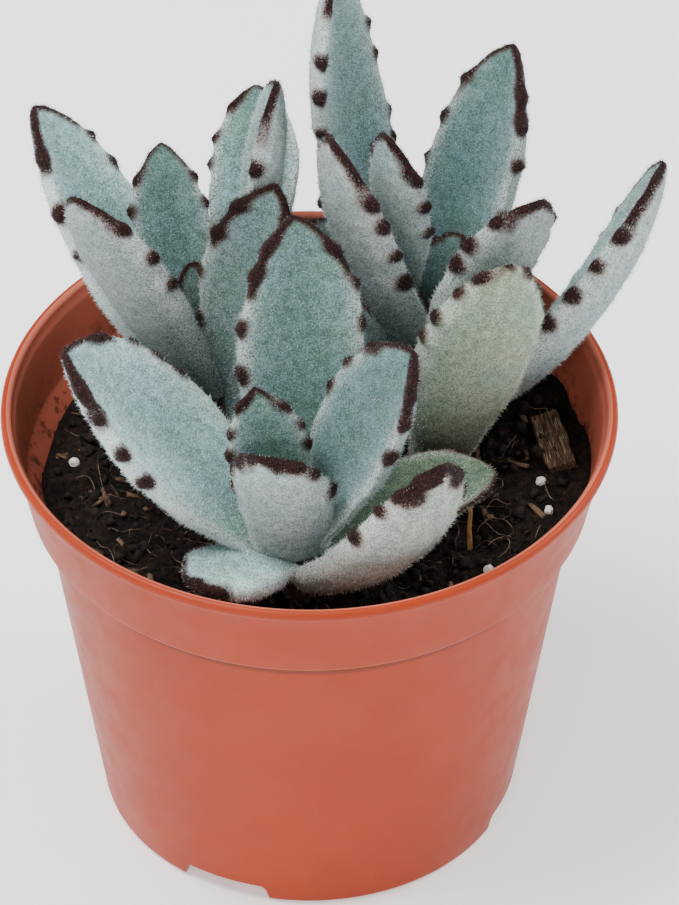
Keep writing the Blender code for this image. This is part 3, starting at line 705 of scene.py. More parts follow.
def build_perlite():
    stone = perlite_stone()
    for number in range(1, PERLITE_GRAINS + 1):
        low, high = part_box(f"perlite_{number}")
        ball = bpy.ops.mesh.primitive_ico_sphere_add
        grain = modelled(f"perlite_grain_{number}", ball, subdivisions=4, radius=1)
        for vertex in grain.data.vertices:
            point = vertex.co * 1.5 + Vector((number * 7.3, 0, 0))
            swell = 1 + PERLITE_SWELL * noise.noise(point) + PERLITE_ROUGH * noise.noise(point * 3.1)
            pit = max(0, noise.noise(point * 2.2 + Vector((5, 5, 5))) - 0.25)
            out = vertex.co * (swell - PERLITE_PIT * pit)
            vertex.co = Vector([a * (h - l) / 2 for a, h, l in zip(out, high, low)]) + (low + high) / 2
        finished(grain, stone, (f"perlite_{number}",), 60)


build_perlite()


# A flat flake of composted bark bedded in the soil at the right: brown, split along its grain, with pale
# fibres standing out of its face and frayed ends.
CHIP_TURN, CHIP_LEAN = 12.0, -14.0
CHIP_SIZE = (5.4 * MM, 13.5 * MM, 1.5 * MM)
CHIP_CENTRE = (41.6 * MM, 4.0 * MM)
CHIP_SIT = 0.35 * MM
CHIP_CUTS, CHIP_FIBRES, CHIP_FIBRE_STEPS = 27, 46, 8


def weathered_bark():
    material, tree, shader, where = new_material("weathered bark", 0.88, 0.3)
    lengthwise = scaled(tree, where, (1, 0.10, 1), (0, 0, math.radians(-CHIP_TURN)))
    grain = grainy(tree, lengthwise, 0.45 * MM, 5, 0.65)
    colour = mixed(tree, stepped(tree, grain, 0.36, 0.60), (0.022, 0.012, 0.008), (0.11, 0.062, 0.034))
    colour = mixed(tree, stepped(tree, grain, 0.60, 0.70), colour, (0.32, 0.22, 0.13))
    feed(tree, shader, Base_Color=colour, Normal=raised(tree, grain, 0.3 * MM, 0.9))
    return material


def build_flake():
    draw = random.Random(21)
    tilt = Matrix.Rotation(math.radians(CHIP_TURN), 3, "Z") @ Matrix.Rotation(math.radians(CHIP_LEAN), 3, "Y")
    centre = Vector((*CHIP_CENTRE, soil_height(*CHIP_CENTRE) + CHIP_SIT))
    flake = modelled("bark_flake_split", bpy.ops.mesh.primitive_cube_add, size=1)
    reshape(bpy.ops.mesh.subdivide, number_cuts=CHIP_CUTS)
    for vertex in flake.data.vertices:
        across, along, up = vertex.co
        ridge = noise.noise(Vector((across * 11, along * 1.6, 3))) * 0.22
        ridge += noise.noise(Vector((across * 26, along * 2.5, 8))) * 0.12
        end = 4.0 if along > 0 else 9.0
        frayed = noise.noise(Vector((across * 9, end, 0))) * 0.07 * (abs(along) * 2) ** 6
        edge = 1 - 0.3 * abs(along) + 0.10 * noise.noise(Vector((along * 5, across, 1)))
        crest = (ridge if up > 0 else 0) * (1 - (abs(across) * 2) ** 4)
        place = (across * edge, along + math.copysign(frayed, along), up + crest)
        shape = Vector([share * size for share, size in zip(place, CHIP_SIZE)])
        vertex.co = tilt @ shape + centre + POT_AXIS
    finished(flake, weathered_bark(), ("bark_flake",), 50)
    bm = bmesh.new()
    for _ in range(CHIP_FIBRES):
        across, along = draw.uniform(-0.45, 0.45) * CHIP_SIZE[0], draw.uniform(-0.48, 0.2) * CHIP_SIZE[1]
        length, lift = draw.uniform(1.5, 6) * MM, draw.uniform(0.05, 0.3) * MM
        points = []
        for step in range(CHIP_FIBRE_STEPS):
            share = step / (CHIP_FIBRE_STEPS - 1)
            wave = 0.06 * MM * math.sin(share * 9 + across * 9000)
            above = CHIP_SIZE[2] * 0.5 + lift * math.sin(math.pi * share)
            local = Vector((across * (1 - 0.1 * share) + wave, along + length * share, above))
            points.append(tilt @ local + centre)
        add_thread(bm, points, draw.uniform(0.04, 0.09) * MM)
    look = litter("bark fibre", (0.13, 0.08, 0.045), (0.44, 0.32, 0.21), 0.10)
    finished(gathered("bark_flake_fibres", bm), look, (), 60)


build_flake()


# A dry golden stalk that stands in the soil at the front right: ribbed along its length, flattened, and split
# where it snapped off.
STRAW_FOOT = (27.2 * MM, -19.5 * MM)
STRAW_BENDS = ((0, 0, -4), (0, 0, 0.6), (-0.15, 0.2, 4), (0.1, 0.5, 8.5))
STRAW_RADIUS = 0.47 * MM
STRAW_RIBS, STRAW_RINGS = 20, 44


def dry_stalk():
    material, tree, shader, where = new_material("dry stalk", 0.6, 0.4)
    rib = grainy(tree, scaled(tree, where, (1, 1, 0.06)), 0.16 * MM, 3)
    colour = mixed(tree, stepped(tree, rib, 0.35, 0.65), (0.26, 0.13, 0.045), (0.58, 0.37, 0.15))
    blotch = grainy(tree, where, 1.5 * MM, 3)
    colour = mixed(tree, stepped(tree, blotch, 0.55, 0.7, 0, 0.7), colour, (0.12, 0.06, 0.03))
    feed(tree, shader, Base_Color=colour, Normal=raised(tree, rib, 0.06 * MM, 0.8))
    return material


def modelled_ball(name, segments, rings):
    return modelled(name, bpy.ops.mesh.primitive_uv_sphere_add, segments=segments, ring_count=rings, radius=1)


def share_and_turn(point):
    """How far a point of a ball lies from its lower pole, as a share of the way, and its turn."""
    return 1 - math.acos(max(-1, min(1, point.z))) / math.pi, math.atan2(point.y, point.x)


def end_cap(share, sharpness):
    """1 along a stalk, falling to 0 round each end."""
    return min(1, math.sqrt(max(0, 1 - abs(share * 2 - 1))) * sharpness)


def build_straw():
    straw = modelled_ball("golden_straw", STRAW_RIBS, STRAW_RINGS)
    base = POT_AXIS + Vector((*STRAW_FOOT, soil_height(*STRAW_FOOT)))
    heights = [bend[2] for bend in STRAW_BENDS]
    for vertex in straw.data.vertices:
        share, turn = share_and_turn(vertex.co)
        height = heights[0] + (heights[-1] - heights[0]) * share
        lean = [np.interp(height, heights, [bend[axis] for bend in STRAW_BENDS]) * MM for axis in (0, 1)]
        radius = STRAW_RADIUS * end_cap(share, 4) * (1 + 0.10 * math.sin(turn * 7)) * (1 - 0.25 * share)
        split = 0.5 * MM * max(0, share - 0.9) * 10 * math.sin(turn * 2 + 0.6)
        across, deep = radius * math.cos(turn), radius * 0.7 * math.sin(turn)
        vertex.co = base + Vector((lean[0] + across, lean[1] + deep, height * MM + split))
    finished(straw, dry_stalk(), ("straw",), 60)


build_straw()


# Three woody stems grow from the soil, each the axis of one rosette. They are clothed in short rusty felt,
# with a crescent scar wherever a lower leaf has dropped.
STEM_RADIUS, STEM_TOP_RADIUS, STEM_BURIED = 2.6 * MM, 1.8 * MM, 20.0 * MM
STEMS = {
    "front": ((-2, -29, 66), (-2, -24, 90)),
    "left": ((-16, 9, 66), (-12.7, 20.2, 95)),
    "right": ((20, 2, 66), (15.6, 23, 97)),
}
STEM_SIDES, STEM_RINGS = 40, 110
STEM_DARKER_BELOW = (76 * MM, 69 * MM)


def stem_ends(stem):
    return tuple(Vector(point) * MM for point in STEMS[stem])


def stem_point(stem, height):
    """The middle of a stem at a height, and its direction."""
    foot, top = stem_ends(stem)
    along = (top - foot).normalized()
    return foot + along * ((height - foot.z) / along.z), along


def stem_felt():
    material, tree, shader, where = new_material("stem felt", 0.9, 0.2, Sheen_Weight=0.4)
    nap = grainy(tree, where, 0.35 * MM, 4)
    colour = mixed(tree, stepped(tree, nap, 0.35, 0.65), (0.040, 0.026, 0.015), (0.16, 0.13, 0.085))
    rust = grainy(tree, where, 2.2 * MM, 3)
    colour = mixed(tree, stepped(tree, rust, 0.50, 0.66), colour, (0.060, 0.026, 0.015))
    # The stems turn near black towards the soil.
    darker_low = stepped(tree, above_floor(tree, where), *STEM_DARKER_BELOW, 0, 0.85)
    colour = mixed(tree, darker_low, colour, (0.012, 0.007, 0.005))
    feed(tree, shader, Base_Color=colour, Normal=raised(tree, nap, 0.2 * MM, 0.8))
    return material


def build_stems():
    felt = stem_felt()
    for stem in STEMS:
        foot, along = stem_point(stem, SOIL_LEVEL)
        top = stem_ends(stem)[1]
        bottom = foot - along * (STEM_BURIED - 0.5 * MM)
        piece = modelled_ball(f"felted_stem_{stem}", STEM_SIDES, STEM_RINGS)
        lean = Vector((0, 0, 1)).rotation_difference(along).to_matrix()
        for vertex in piece.data.vertices:
            share, turn = share_and_turn(vertex.co)
            height = (1 - math.cos(math.pi * share)) / 2 * 0.4 + share * 0.6
            taper = 1 - (1 - STEM_TOP_RADIUS / STEM_RADIUS) * max(0, height - 0.4) / 0.6
            scar = 0.06 * math.sin(height * 95 + 2 * math.sin(turn * 2)) * math.cos(turn - height * 40)
            nap = 0.05 * noise.noise(Vector((math.cos(turn) * 2, math.sin(turn) * 2, height * 40)))
            radius = STEM_RADIUS * taper * end_cap(height, 3.2) * (1 + scar + nap)
            out = lean @ Vector((radius * math.cos(turn), radius * math.sin(turn), 0))
            vertex.co = POT_AXIS + bottom.lerp(top, height) + out
        finished(piece, felt, (f"stem_{stem}",), 60)


build_stems()


# Thick, water-storing blades, channelled above and rounded below, in three loose rosettes. Their margins
# carry brown teeth that run together into a brown edge near the tip. The skin is grey green under its felt.
Leaf = namedtuple(
    "Leaf",
    "stem height turn rise bend swing length width roll foot brown_run brown_width tint "
    "teeth_a teeth_b blunt plump",
    defaults=(0.75, 0.0),
)
# Degrees and millimetres. foot is the width at the stem as a share of the widest, brown_run how far the
# brown edge runs from the tip, brown_width its width, teeth_a and teeth_b the teeth's places along the two
# margins.
HIDDEN_TEETH = (0.55, 0.7, 0.84), (0.52, 0.68, 0.82)
LEAVES = (
    Leaf("front", 76, 89, 66, 4, 6, 56, 22.5, 21, 0.4, 12, 2.0, "deep",
         (0.53, 0.68, 0.84, 0.92), (0.53, 0.64, 0.77, 0.88)),
    Leaf("front", 78, 1, 69, -4, -10, 44, 20, 32, 0.45, 7.5, 1.7, "shade",
         (0.56, 0.70, 0.84), (0.64, 0.8, 0.89, 0.95)),
    Leaf("front", 75, 178, 85, -6, -9, 35, 13.5, -70, 0.7, 4.5, 1.4, "mint",
         (0.66, 0.78, 0.92), (0.62, 0.74, 0.86), 0.9),
    Leaf("front", 75, 254, 83, -23, -38, 30, 16.5, 28, 0.8, 3.5, 2.3, "pale",
         (0.55, 0.77, 0.88), (0.6, 0.75, 0.88)),
    Leaf("front", 73, 158, 40, 14, 30, 55, 25.5, -9, 0.42, 9, 1.9, "frost_lit",
         (0.58, 0.71, 0.84, 0.92), (0.58, 0.67, 0.76, 0.88)),
    Leaf("front", 73, 215, 18, -10, -4, 20, 16.5, 10, 0.5, 2.6, 2.4, "frost_lit", (0.9,), (), 0.6, 1.0),
    Leaf("front", 69, 329, 32, 47, 17, 44, 18, -40, 0.68, 7, 3.2, "cream",
         (0.5, 0.65, 0.8, 0.9), (0.53, 0.74, 0.85, 0.94)),
    Leaf("front", 74, 29, 11, -10, -7, 35, 16.5, 2, 0.45, 14, 0.6, "old", (0.84,), (0.9,)),
    Leaf("front", 70, 88, 17, 10, -11, 39, 18.5, -13, 0.3, 5, 1.2, "grey", *HIDDEN_TEETH),
    Leaf("left", 70, 137, 45, 15, 10, 62, 21.5, 15, 0.35, 9, 1.9, "frost_lit",
         (0.6, 0.73, 0.88), (0.6, 0.72, 0.82)),
    Leaf("left", 75, 186, 63, 3, 10, 52, 20, 35, 0.42, 5, 1.5, "grey", (0.6, 0.73, 0.87), (0.55, 0.68, 0.81)),
    Leaf("left", 76, 130, 52, 8, -36, 42, 14, 7, 0.35, 5, 0.9, "deep", (0.62, 0.74, 0.86), (0.6, 0.73, 0.85)),
    Leaf("left", 87, 73, 25, 9, 23, 42, 16, -19, 0.35, 4, 1.2, "deep", (0.66, 0.78, 0.92), ()),
    Leaf("left", 94, 28, 81, 2, -17, 41, 19.5, -19, 0.38, 6, 1.6, "pale", (), (0.72,)),
    Leaf("left", 80, 145, 80, -12, -1, 19, 11, -25, 0.38, 5, 1.7, "grey", (0.52, 0.75), (0.5, 0.72)),
    Leaf("left", 68, 341, 89, -14, 42, 56, 17.5, 47, 0.42, 17, 2.2, "grey",
         (0.4, 0.59, 0.76, 0.88), (0.5, 0.64, 0.77, 0.89)),
    Leaf("left", 72, 74, 18, 14, 11, 40, 15.5, 6, 0.3, 5, 1.2, "grey", *HIDDEN_TEETH),
    Leaf("left", 69, 226, 42, 12, -3, 41, 16.5, 10, 0.3, 6, 1.4, "grey", *HIDDEN_TEETH),
    Leaf("left", 81, 34, 42, -6, 5, 30, 11.5, -14, 0.3, 5, 1.2, "grey", *HIDDEN_TEETH),
    Leaf("right", 94, 134, 60, 36, 36, 63, 18.5, -4, 0.38, 8, 1.6, "pale",
         (0.44, 0.53, 0.65, 0.76), (0.34, 0.42, 0.6, 0.7)),
    Leaf("right", 88, 215, 68, 12, -8, 48, 20.5, -1, 0.95, 8, 1.9, "grey",
         (0.4, 0.55, 0.7, 0.8), (0.26, 0.45, 0.62, 0.8)),
    Leaf("right", 92, 249, 88, -12, -6, 40, 14, -27, 0.42, 8, 1.8, "pale",
         (0.5, 0.66, 0.82), (0.35, 0.58, 0.79)),
    Leaf("right", 80, 65, 45, 23, -10, 58, 21, -22, 0.38, 11, 1.7, "shade",
         (0.46, 0.58, 0.71, 0.84), (0.5, 0.68, 0.8, 0.88)),
    Leaf("right", 77, 359, 73, -10, -19, 50, 19, -41, 0.42, 5, 2.2, "grey",
         (0.6, 0.73, 0.86), (0.67, 0.76, 0.88)),
    Leaf("right", 86, 13, 72, -2, -7, 21, 11, 14, 0.38, 4, 1.3, "deep", (0.47, 0.73), (0.46, 0.7)),
    Leaf("right", 82, 336, 88, 8, 23, 15, 7, 35, 0.38, 3.5, 1.4, "grey", (0.5, 0.75), (0.55, 0.78)),
    Leaf("right", 72, 13, 30, 31, 28, 62, 24, -46, 0.42, 11, 1.8, "pale",
         (0.42, 0.54, 0.68, 0.77), (0.47, 0.58, 0.69, 0.8)),
    Leaf("right", 68, 320, 72, 6, 11, 53, 21.5, -37, 0.46, 1.5, 1.25, "warm",
         (0.6, 0.72, 0.84, 0.93), (0.66, 0.76, 0.88, 0.95)),
    Leaf("right", 73, 90, 27, -6, -5, 41, 19, -2, 0.3, 5, 1.2, "grey", *HIDDEN_TEETH),
    Leaf("right", 77, 139, 18, -6, 8, 31, 12, -12, 0.3, 5, 1.2, "grey", *HIDDEN_TEETH),
    Leaf("right", 89, 113, 16, -6, -8, 33, 13, -3, 0.3, 5, 1.2, "grey", *HIDDEN_TEETH),
)
GAP, FOOT_BITE = 0.3 * MM, 0.4
BLADE_LIFT, BLADE_THICKNESS, UPPER_SHARE, WIDEST_AT = 0.10, 0.27, 0.30, 0.58
ROUND_ACROSS, ROUND_UP = 0.72, 0.80  # under 1 these swell the margins into rounded rims
EDGE_SHARPNESS = 6  # how closely the teeth and the denser hairs keep to the margin
GROOVE_DEPTH, GROOVE_WIDTH = 0.060, 0.36  # shares of the half width
BROWN_LIMIT = 3  # millimetres inside or outside the brown
TOOTH_REACH, TOOTH_SWELL, TOOTH_HALF_LENGTH = 0.80 * MM, 0.35 * MM, 1.15 * MM
SPOT_RADIUS = 1.62 * MM  # the brown patch on a tooth
LEAF_SIDES, RING_SPACING, RING_CROWDING = 44, 0.55 * MM, 0.085  # rings crowd at the foot and the tip
NAPS = ((2.4, 0.16), (0.8, 0.06))  # size and depth of the felt's waves, millimetres
TINTS = {
    "grey": (1.00, 1.00, 1.00),
    "deep": (0.82, 0.92, 0.90),
    "mint": (1.02, 1.12, 1.06),
    "warm": (1.02, 1.08, 0.78),
    "pale": (1.16, 1.22, 1.22),
    "cream": (1.20, 1.14, 1.05),
    "old": (0.62, 0.62, 0.42),
    # Painted light on top of paler felt: this tint brightens its leaves far past their own colour.
    "frost_lit": (1.80, 1.92, 1.95),
    # Painted shade: this tint darkens leaves that the lamps light strongly.
    "shade": (0.70, 0.82, 0.84),
}


def named_leaves():
    """Each leaf with the name of its node: its stem and its number on that stem."""
    counts = dict.fromkeys(STEMS, 0)
    for leaf in LEAVES:
        counts[leaf.stem] += 1
        yield f"{leaf.stem}_{counts[leaf.stem]}", leaf


def heading(leaf, share):
    turn = np.radians(leaf.turn + leaf.swing * share)
    rise = np.radians(leaf.rise + leaf.bend * share)
    return np.stack([np.cos(rise) * np.cos(turn), np.cos(rise) * np.sin(turn), np.sin(rise)], -1)


def midrib(leaf, share, steps=40):
    """Points of the blade's middle at these shares of its length."""
    foot, top = stem_ends(leaf.stem)
    centre = stem_point(leaf.stem, leaf.height * MM)[0]
    climbed = max((leaf.height * MM - foot.z) / (top.z - foot.z), 0)
    radius = STEM_RADIUS + (STEM_TOP_RADIUS - STEM_RADIUS) * climbed + GAP * FOOT_BITE
    turn = math.radians(leaf.turn)
    start = np.array(centre) + np.array([math.cos(turn), math.sin(turn), 0]) * radius
    moves = heading(leaf, (np.arange(steps) + 0.5) / steps) * leaf.length * MM / steps
    path = np.vstack([start, start + np.cumsum(moves, 0)])
    return np.stack([np.interp(share * steps, np.arange(steps + 1), way) for way in path.T], -1)


def half_width(leaf, share):
    swell = np.sin(np.minimum(share / WIDEST_AT, 1) * math.pi / 2) ** 1.3
    past = np.clip((share - WIDEST_AT) / (1 - WIDEST_AT), 0, 1)
    return leaf.width * MM / 2 * (leaf.foot + (1 - leaf.foot) * swell) * (1 - past**2.3) ** leaf.blunt


def blade_thickness(leaf, share):
    swell = 0.55 + 0.45 * np.sin(math.pi * np.minimum(share * 0.9 + 0.1, 1))
    fade = np.minimum(1, np.sqrt(half_width(leaf, share) / (leaf.width * MM / 2)) * 1.05)
    return BLADE_THICKNESS * leaf.width * MM * swell * fade


def bold(leaf, number):
    """The size of one tooth against the others."""
    return 1.0 + 0.16 * math.sin(number * 2.4 + leaf.turn)


def teeth_near(leaf, share, side):
    """For each tooth: each point's distance from it along the leaf, its size, and the points on its side."""
    for teeth, on_side in ((leaf.teeth_a, side > 0), (leaf.teeth_b, side <= 0)):
        for number, tooth in enumerate(teeth):
            yield (share - tooth) * leaf.length * MM, bold(leaf, number), on_side


def near_teeth(leaf, share, side, half_length):
    """How near a point along a margin is to a tooth, from 0 to 1. side is above 0 on margin a."""
    nearest = np.zeros_like(share)
    for away, size, on_side in teeth_near(leaf, share, side):
        nearest = np.maximum(nearest, np.exp(-((away / (half_length * size)) ** 2)) * on_side)
    return nearest


def spot_depth(leaf, share, side, inset):
    """Millimetres inside the brown patch of the nearest tooth, below 0 outside it."""
    deepest = np.full_like(share, -9.0)
    radius = SPOT_RADIUS * min(1, 0.55 + leaf.width / 38) * min(1.1, math.sqrt(leaf.brown_width / 1.7))
    for away, size, on_side in teeth_near(leaf, share, side):
        depth = (radius * size - np.hypot(away, inset * 1.15)) / MM
        deepest = np.where(on_side, np.maximum(deepest, depth), deepest)
    return deepest


def blade_form(leaf, share, around):
    """Points of the blade's skin, with how brown, how far under, and how near edge and foot each is."""
    across = np.sign(np.cos(around)) * np.abs(np.cos(around)) ** ROUND_ACROSS
    up = np.sign(np.sin(around)) * np.abs(np.sin(around)) ** ROUND_UP
    half = half_width(leaf, share)
    thick_side = np.where(up > 0, UPPER_SHARE + 0.3 * leaf.plump, 1 - UPPER_SHARE)
    thickness = blade_thickness(leaf, share) * thick_side
    tooth = near_teeth(leaf, share, across, TOOTH_HALF_LENGTH)
    edge = np.abs(across) ** EDGE_SHARPNESS
    ripple = 0.018 * np.sin(share * 21 + leaf.turn) * np.sign(across)
    reach = half * across * (1 + ripple) + np.sign(across) * TOOTH_REACH * tooth * edge
    groove = GROOVE_DEPTH * half * np.exp(-((across / GROOVE_WIDTH) ** 2))
    groove = groove * (1 - 0.6 * share) * (up > 0) * (1 - leaf.plump)
    lift = BLADE_LIFT * (1 - leaf.plump) * 2 * half * across**2 - groove
    fat = thickness * up + TOOTH_SWELL * tooth * edge * np.sign(up)
    turn = np.radians(leaf.turn + leaf.swing * share)
    side = np.stack([-np.sin(turn), np.cos(turn), np.zeros_like(turn)], -1)
    upward = np.cross(heading(leaf, share), side)
    roll = math.radians(leaf.roll)
    sideways = side * math.cos(roll) + upward * math.sin(roll)
    outward = upward * math.cos(roll) - side * math.sin(roll)
    points = midrib(leaf, share) + sideways * reach[:, None] + outward * (lift + fat)[:, None]
    inset = np.hypot((1 - np.abs(across)) * half, thickness * up * 0.85)
    from_tip = (1 - share) * leaf.length * MM
    wide = leaf.brown_width * (0.66 + 0.55 * near_teeth(leaf, share, across, TOOTH_HALF_LENGTH * 1.3))
    wide = wide * (1 + 0.35 * np.clip(1 - from_tip / (3.5 * MM), 0, 1))
    fray = 1.2 * np.sin(share * 31 + leaf.turn + np.sign(across))
    band = np.minimum(wide - inset / MM, (leaf.brown_run - from_tip / MM + fray) * 0.5)
    brown = np.maximum(spot_depth(leaf, share, across, inset), band)
    under = np.clip(0.5 - up, 0, 1)
    brown = np.clip(brown, -BROWN_LIMIT, BROWN_LIMIT)
    return points, {"brown": brown, "under": under, "edge": np.abs(across), "foot": share}


def felted_skin():
    """Leaf skin with its felt seen from above: fine pale wool over grey green, pale rims, maroon teeth, with
    painted highlights and painted shade.
    """
    sheen = {"Sheen_Weight": 0.06, "Sheen_Roughness": 0.45}
    material, tree, shader, where = new_material("felted skin", 0.88, 0.2, **sheen)
    brown, under, edge, foot = (stored(tree, layer) for layer in ("brown", "under", "edge", "foot"))
    tint = stored(tree, "tint", "Color")
    tuft = grainy(tree, where, 0.28 * MM, 4, 0.7)
    clump = grainy(tree, where, 1.5 * MM, 3)
    gap = mixed(tree, under, (0.085, 0.142, 0.128), (0.17, 0.21, 0.20))
    wool = mixed(tree, under, (0.30, 0.42, 0.405), (0.50, 0.56, 0.55))
    # Painted highlight: broad random patches of the wool are painted a paler blue.
    sky = stepped(tree, grainy(tree, where, 9 * MM, 2), 0.42, 0.65, 0, 0.6)
    wool = mixed(tree, sky, wool, (0.34, 0.45, 0.53))
    thick = worked(tree, "ADD", tuft, product(tree, worked(tree, "SUBTRACT", clump, 0.5), 0.3))
    colour = mixed(tree, stepped(tree, thick, 0.36, 0.66), gap, wool)
    colour = tinged(tree, colour, tint)
    # Painted shade: the middle of each blade's upper face is darkened.
    middle = stepped(tree, edge, 0.9, 0.1, 0, 0.42)
    middle = product(tree, middle, worked(tree, "SUBTRACT", 1.0, under))
    colour = mixed(tree, middle, colour, tinged(tree, colour, (0.30, 0.42, 0.38)))
    # Painted shade: each blade turns darker green towards its foot.
    colour = mixed(tree, stepped(tree, foot, 0.45, 0.0, 0, 0.6), colour, (0.045, 0.082, 0.060))
    rim = product(tree, stepped(tree, edge, 0.66, 1.0), stepped(tree, tuft, 0.40, 0.60, 0.0, 0.75))
    colour = mixed(tree, rim, colour, (0.70, 0.73, 0.71))
    ragged = worked(tree, "ADD", brown, product(tree, worked(tree, "SUBTRACT", tuft, 0.5), 5.0))
    bristle = grainy(tree, where, 0.20 * MM, 3, 0.6)
    maroon = mixed(tree, stepped(tree, bristle, 0.46, 0.66), (0.0050, 0.0012, 0.0014), (0.062, 0.017, 0.015))
    maroon = mixed(tree, stepped(tree, brown, 0.7, -0.1, 0, 0.6), maroon, (0.085, 0.026, 0.021))
    halo = stepped(tree, brown, -1.0, 0.1, 0, 0.55)
    colour = mixed(tree, halo, colour, tinged(tree, colour, (0.55, 0.34, 0.32)))
    colour = mixed(tree, stepped(tree, ragged, -0.25, 0.35), colour, maroon)
    feed(tree, shader, Base_Color=colour, Normal=raised(tree, tuft, 0.22 * MM, 0.9))
    return material


def mark(mesh, name, values, kind="FLOAT"):
    """Stores one value a point on a mesh, for its material to read."""
    layer = mesh.attributes.new(name, kind, "POINT")
    values = np.ascontiguousarray(values, np.float32).ravel()
    layer.data.foreach_set("value" if kind == "FLOAT" else "color", values)


def tinted(mesh, leaf):
    mark(mesh, "tint", np.tile([*TINTS[leaf.tint], 1.0], (len(mesh.vertices), 1)), "FLOAT_COLOR")


def read_points(mesh, what):
    points = np.empty(len(mesh.vertices) * 3)
    mesh.vertices.foreach_get(what, points)
    return points.reshape(-1, 3)


def grow_leaf(name, leaf, skin):
    rings = max(36, round(leaf.length * MM / RING_SPACING))
    blade = modelled_ball(f"panda_leaf_{name}", LEAF_SIDES, rings)
    ball = read_points(blade.data, "co")
    polar = 1 - np.arccos(np.clip(ball[:, 2], -1, 1)) / math.pi
    share = polar - RING_CROWDING * np.sin(math.tau * polar)
    formed, layers = blade_form(leaf, share, np.arctan2(ball[:, 1], ball[:, 0]))
    formed = formed + np.array(POT_AXIS)
    blade.data.vertices.foreach_set("co", formed.ravel())
    blade.data.update()
    reshape(bpy.ops.mesh.normals_make_consistent, inside=False)
    nap = [sum(depth * noise.noise(Vector(spot) / size) for size, depth in NAPS) for spot in formed / MM]
    napped = formed + read_points(blade.data, "normal") * np.array(nap)[:, None] * MM
    blade.data.vertices.foreach_set("co", napped.ravel())
    blade.data.update()
    for layer, values in layers.items():
        mark(blade.data, layer, values)
    tinted(blade.data, leaf)
    return finished(blade, skin, (f"leaf_{name}",), 180)


skin = felted_skin()
blades = {name: grow_leaf(name, leaf, skin) for name, leaf in named_leaves()}


# Every leaf is clothed in short silvery hairs, which lean towards its tip and stand out as a pale rim along
# its outline. On the teeth and the brown edge they are rusty brown. Each hair is a small closed spike.
HAIRS = 128000
HAIR_WIDTH = 0.095 * MM
HAIR_LENGTHS = (0.40 * MM, 0.90 * MM)
HAIR_LEAN, HAIR_STRAY, HAIR_LIFT = 0.50, 0.45, 0.25
HAIR_ROOT = 0.06 * MM  # how deep a hair is set in the skin
HAIR_MIXING = 0.45  # millimetres that brown and white hairs stray among each other
RIM_CROWDING, TOOTH_CROWDING = 1.6, 3.0  # how much denser the hairs stand on the margins and the teeth


def hair_silk():
    material, tree, shader, where = new_material("hair silk", 0.7, 0.25)
    brown, tint = stored(tree, "brown"), stored(tree, "tint", "Color")
    each = grainy(tree, where, 0.5 * MM, 2)
    white = mixed(tree, stepped(tree, each, 0.35, 0.65), (0.30, 0.38, 0.37), (0.72, 0.78, 0.78))
    white = mixed(tree, 0.6, white, tinged(tree, white, tint))
    rust = mixed(tree, stepped(tree, each, 0.50, 0.72), (0.0070, 0.0018, 0.0018), (0.30, 0.17, 0.16))
    feed(tree, shader, Base_Color=mixed(tree, stepped(tree, brown, -0.25, 0.15), white, rust))
    return material


def unit(vectors):
    return vectors / np.maximum(np.linalg.norm(vectors, axis=-1, keepdims=True), 1e-12)


def read_values(mesh, layer):
    values = np.empty(len(mesh.vertices))
    mesh.attributes[layer].data.foreach_get("value", values)
    return values


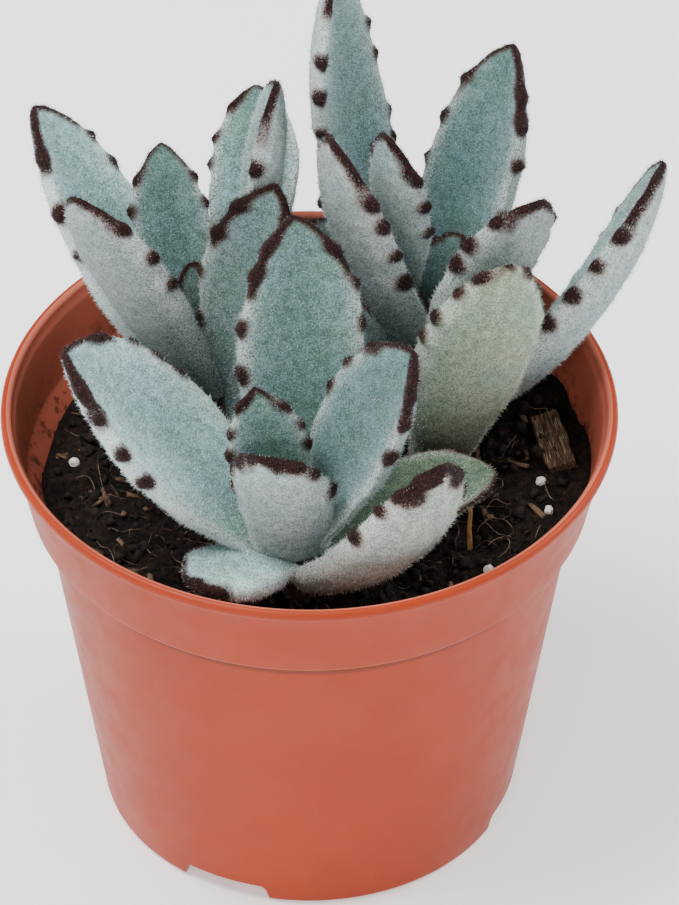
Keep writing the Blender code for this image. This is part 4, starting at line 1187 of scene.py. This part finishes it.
def skin_triangles(blade):
    """Corner numbers of a blade's triangles, and how much room for hairs each one has.

    A modelled ball has its faces in another order each run, so they are sorted before hairs are drawn on it.
    """
    mesh = blade.data
    mesh.calc_loop_triangles()
    corners = np.empty(len(mesh.loop_triangles) * 3, np.int32)
    mesh.loop_triangles.foreach_get("vertices", corners)
    corners = corners.reshape(-1, 3)
    corners = np.take_along_axis(corners, (corners.argmin(1)[:, None] + np.arange(3)) % 3, 1)
    corners = corners[np.lexsort(corners.T[::-1])]
    a, b, c = np.moveaxis(read_points(mesh, "co")[corners], 1, 0)
    edge, brown = read_values(mesh, "edge")[corners].mean(1), read_values(mesh, "brown")[corners].mean(1)
    crowding = 1 + RIM_CROWDING * edge**EDGE_SHARPNESS + TOOTH_CROWDING * np.clip(brown + 0.3, 0, 1)
    return corners, np.linalg.norm(np.cross(b - a, c - a), axis=1) / 2 * crowding


def plant_hairs(name, leaf, blade, silk, spike, sides, crowd):
    draw = np.random.default_rng(sum(map(ord, name)) * 7 + 1)
    corners, room = skin_triangles(blade)
    count = int(room.sum() * crowd)
    chosen = corners[draw.choice(len(corners), count, p=room / room.sum())]
    weights = draw.dirichlet((1, 1, 1), count)[:, :, None]
    brown = read_values(blade.data, "brown")
    root = (read_points(blade.data, "co")[chosen] * weights).sum(1)
    out = unit((read_points(blade.data, "normal")[chosen] * weights).sum(1))
    rusty = (brown[chosen] * weights[:, :, 0]).sum(1) + draw.normal(0, HAIR_MIXING, count)
    tipward = heading(leaf, np.full(count, 0.5))
    tipward = unit(tipward - out * (tipward * out).sum(1)[:, None])
    lie = unit(out + tipward * HAIR_LEAN + draw.normal(0, HAIR_STRAY, (count, 3)))
    lie = unit(lie + out * HAIR_LIFT)
    length = draw.uniform(*HAIR_LENGTHS, count) * min(1, 0.55 + leaf.width / 40)
    side = unit(np.cross(lie, draw.normal(0, 1, (count, 3))))
    width = HAIR_WIDTH / 2 * draw.uniform(0.7, 1.2, count)
    across = (side * width[:, None], np.cross(lie, side) * width[:, None])
    axes = np.stack([*across, lie * length[:, None]], 1)
    base = root - out * HAIR_ROOT
    hairs = laid_out(f"leaf_hairs_{name}", np.einsum("kj,nji->nki", spike, axes) + base[:, None], sides)
    mark(hairs.data, "brown", np.repeat(rusty, len(spike)))
    tinted(hairs.data, leaf)
    finished(hairs, silk, (), 0)


def clothe_leaves():
    silk = hair_silk()
    cone = modelled("hair", bpy.ops.mesh.primitive_cone_add, (0, 0, 0.5), vertices=3, radius1=1, depth=1)
    bpy.ops.object.transform_apply(location=True, rotation=True, scale=True)
    spike, sides = taken_up(cone)
    crowd = HAIRS / sum(skin_triangles(blade)[1].sum() for blade in blades.values())
    for name, leaf in named_leaves():
        plant_hairs(name, leaf, blades[name], silk, spike, sides, crowd)


clothe_leaves()
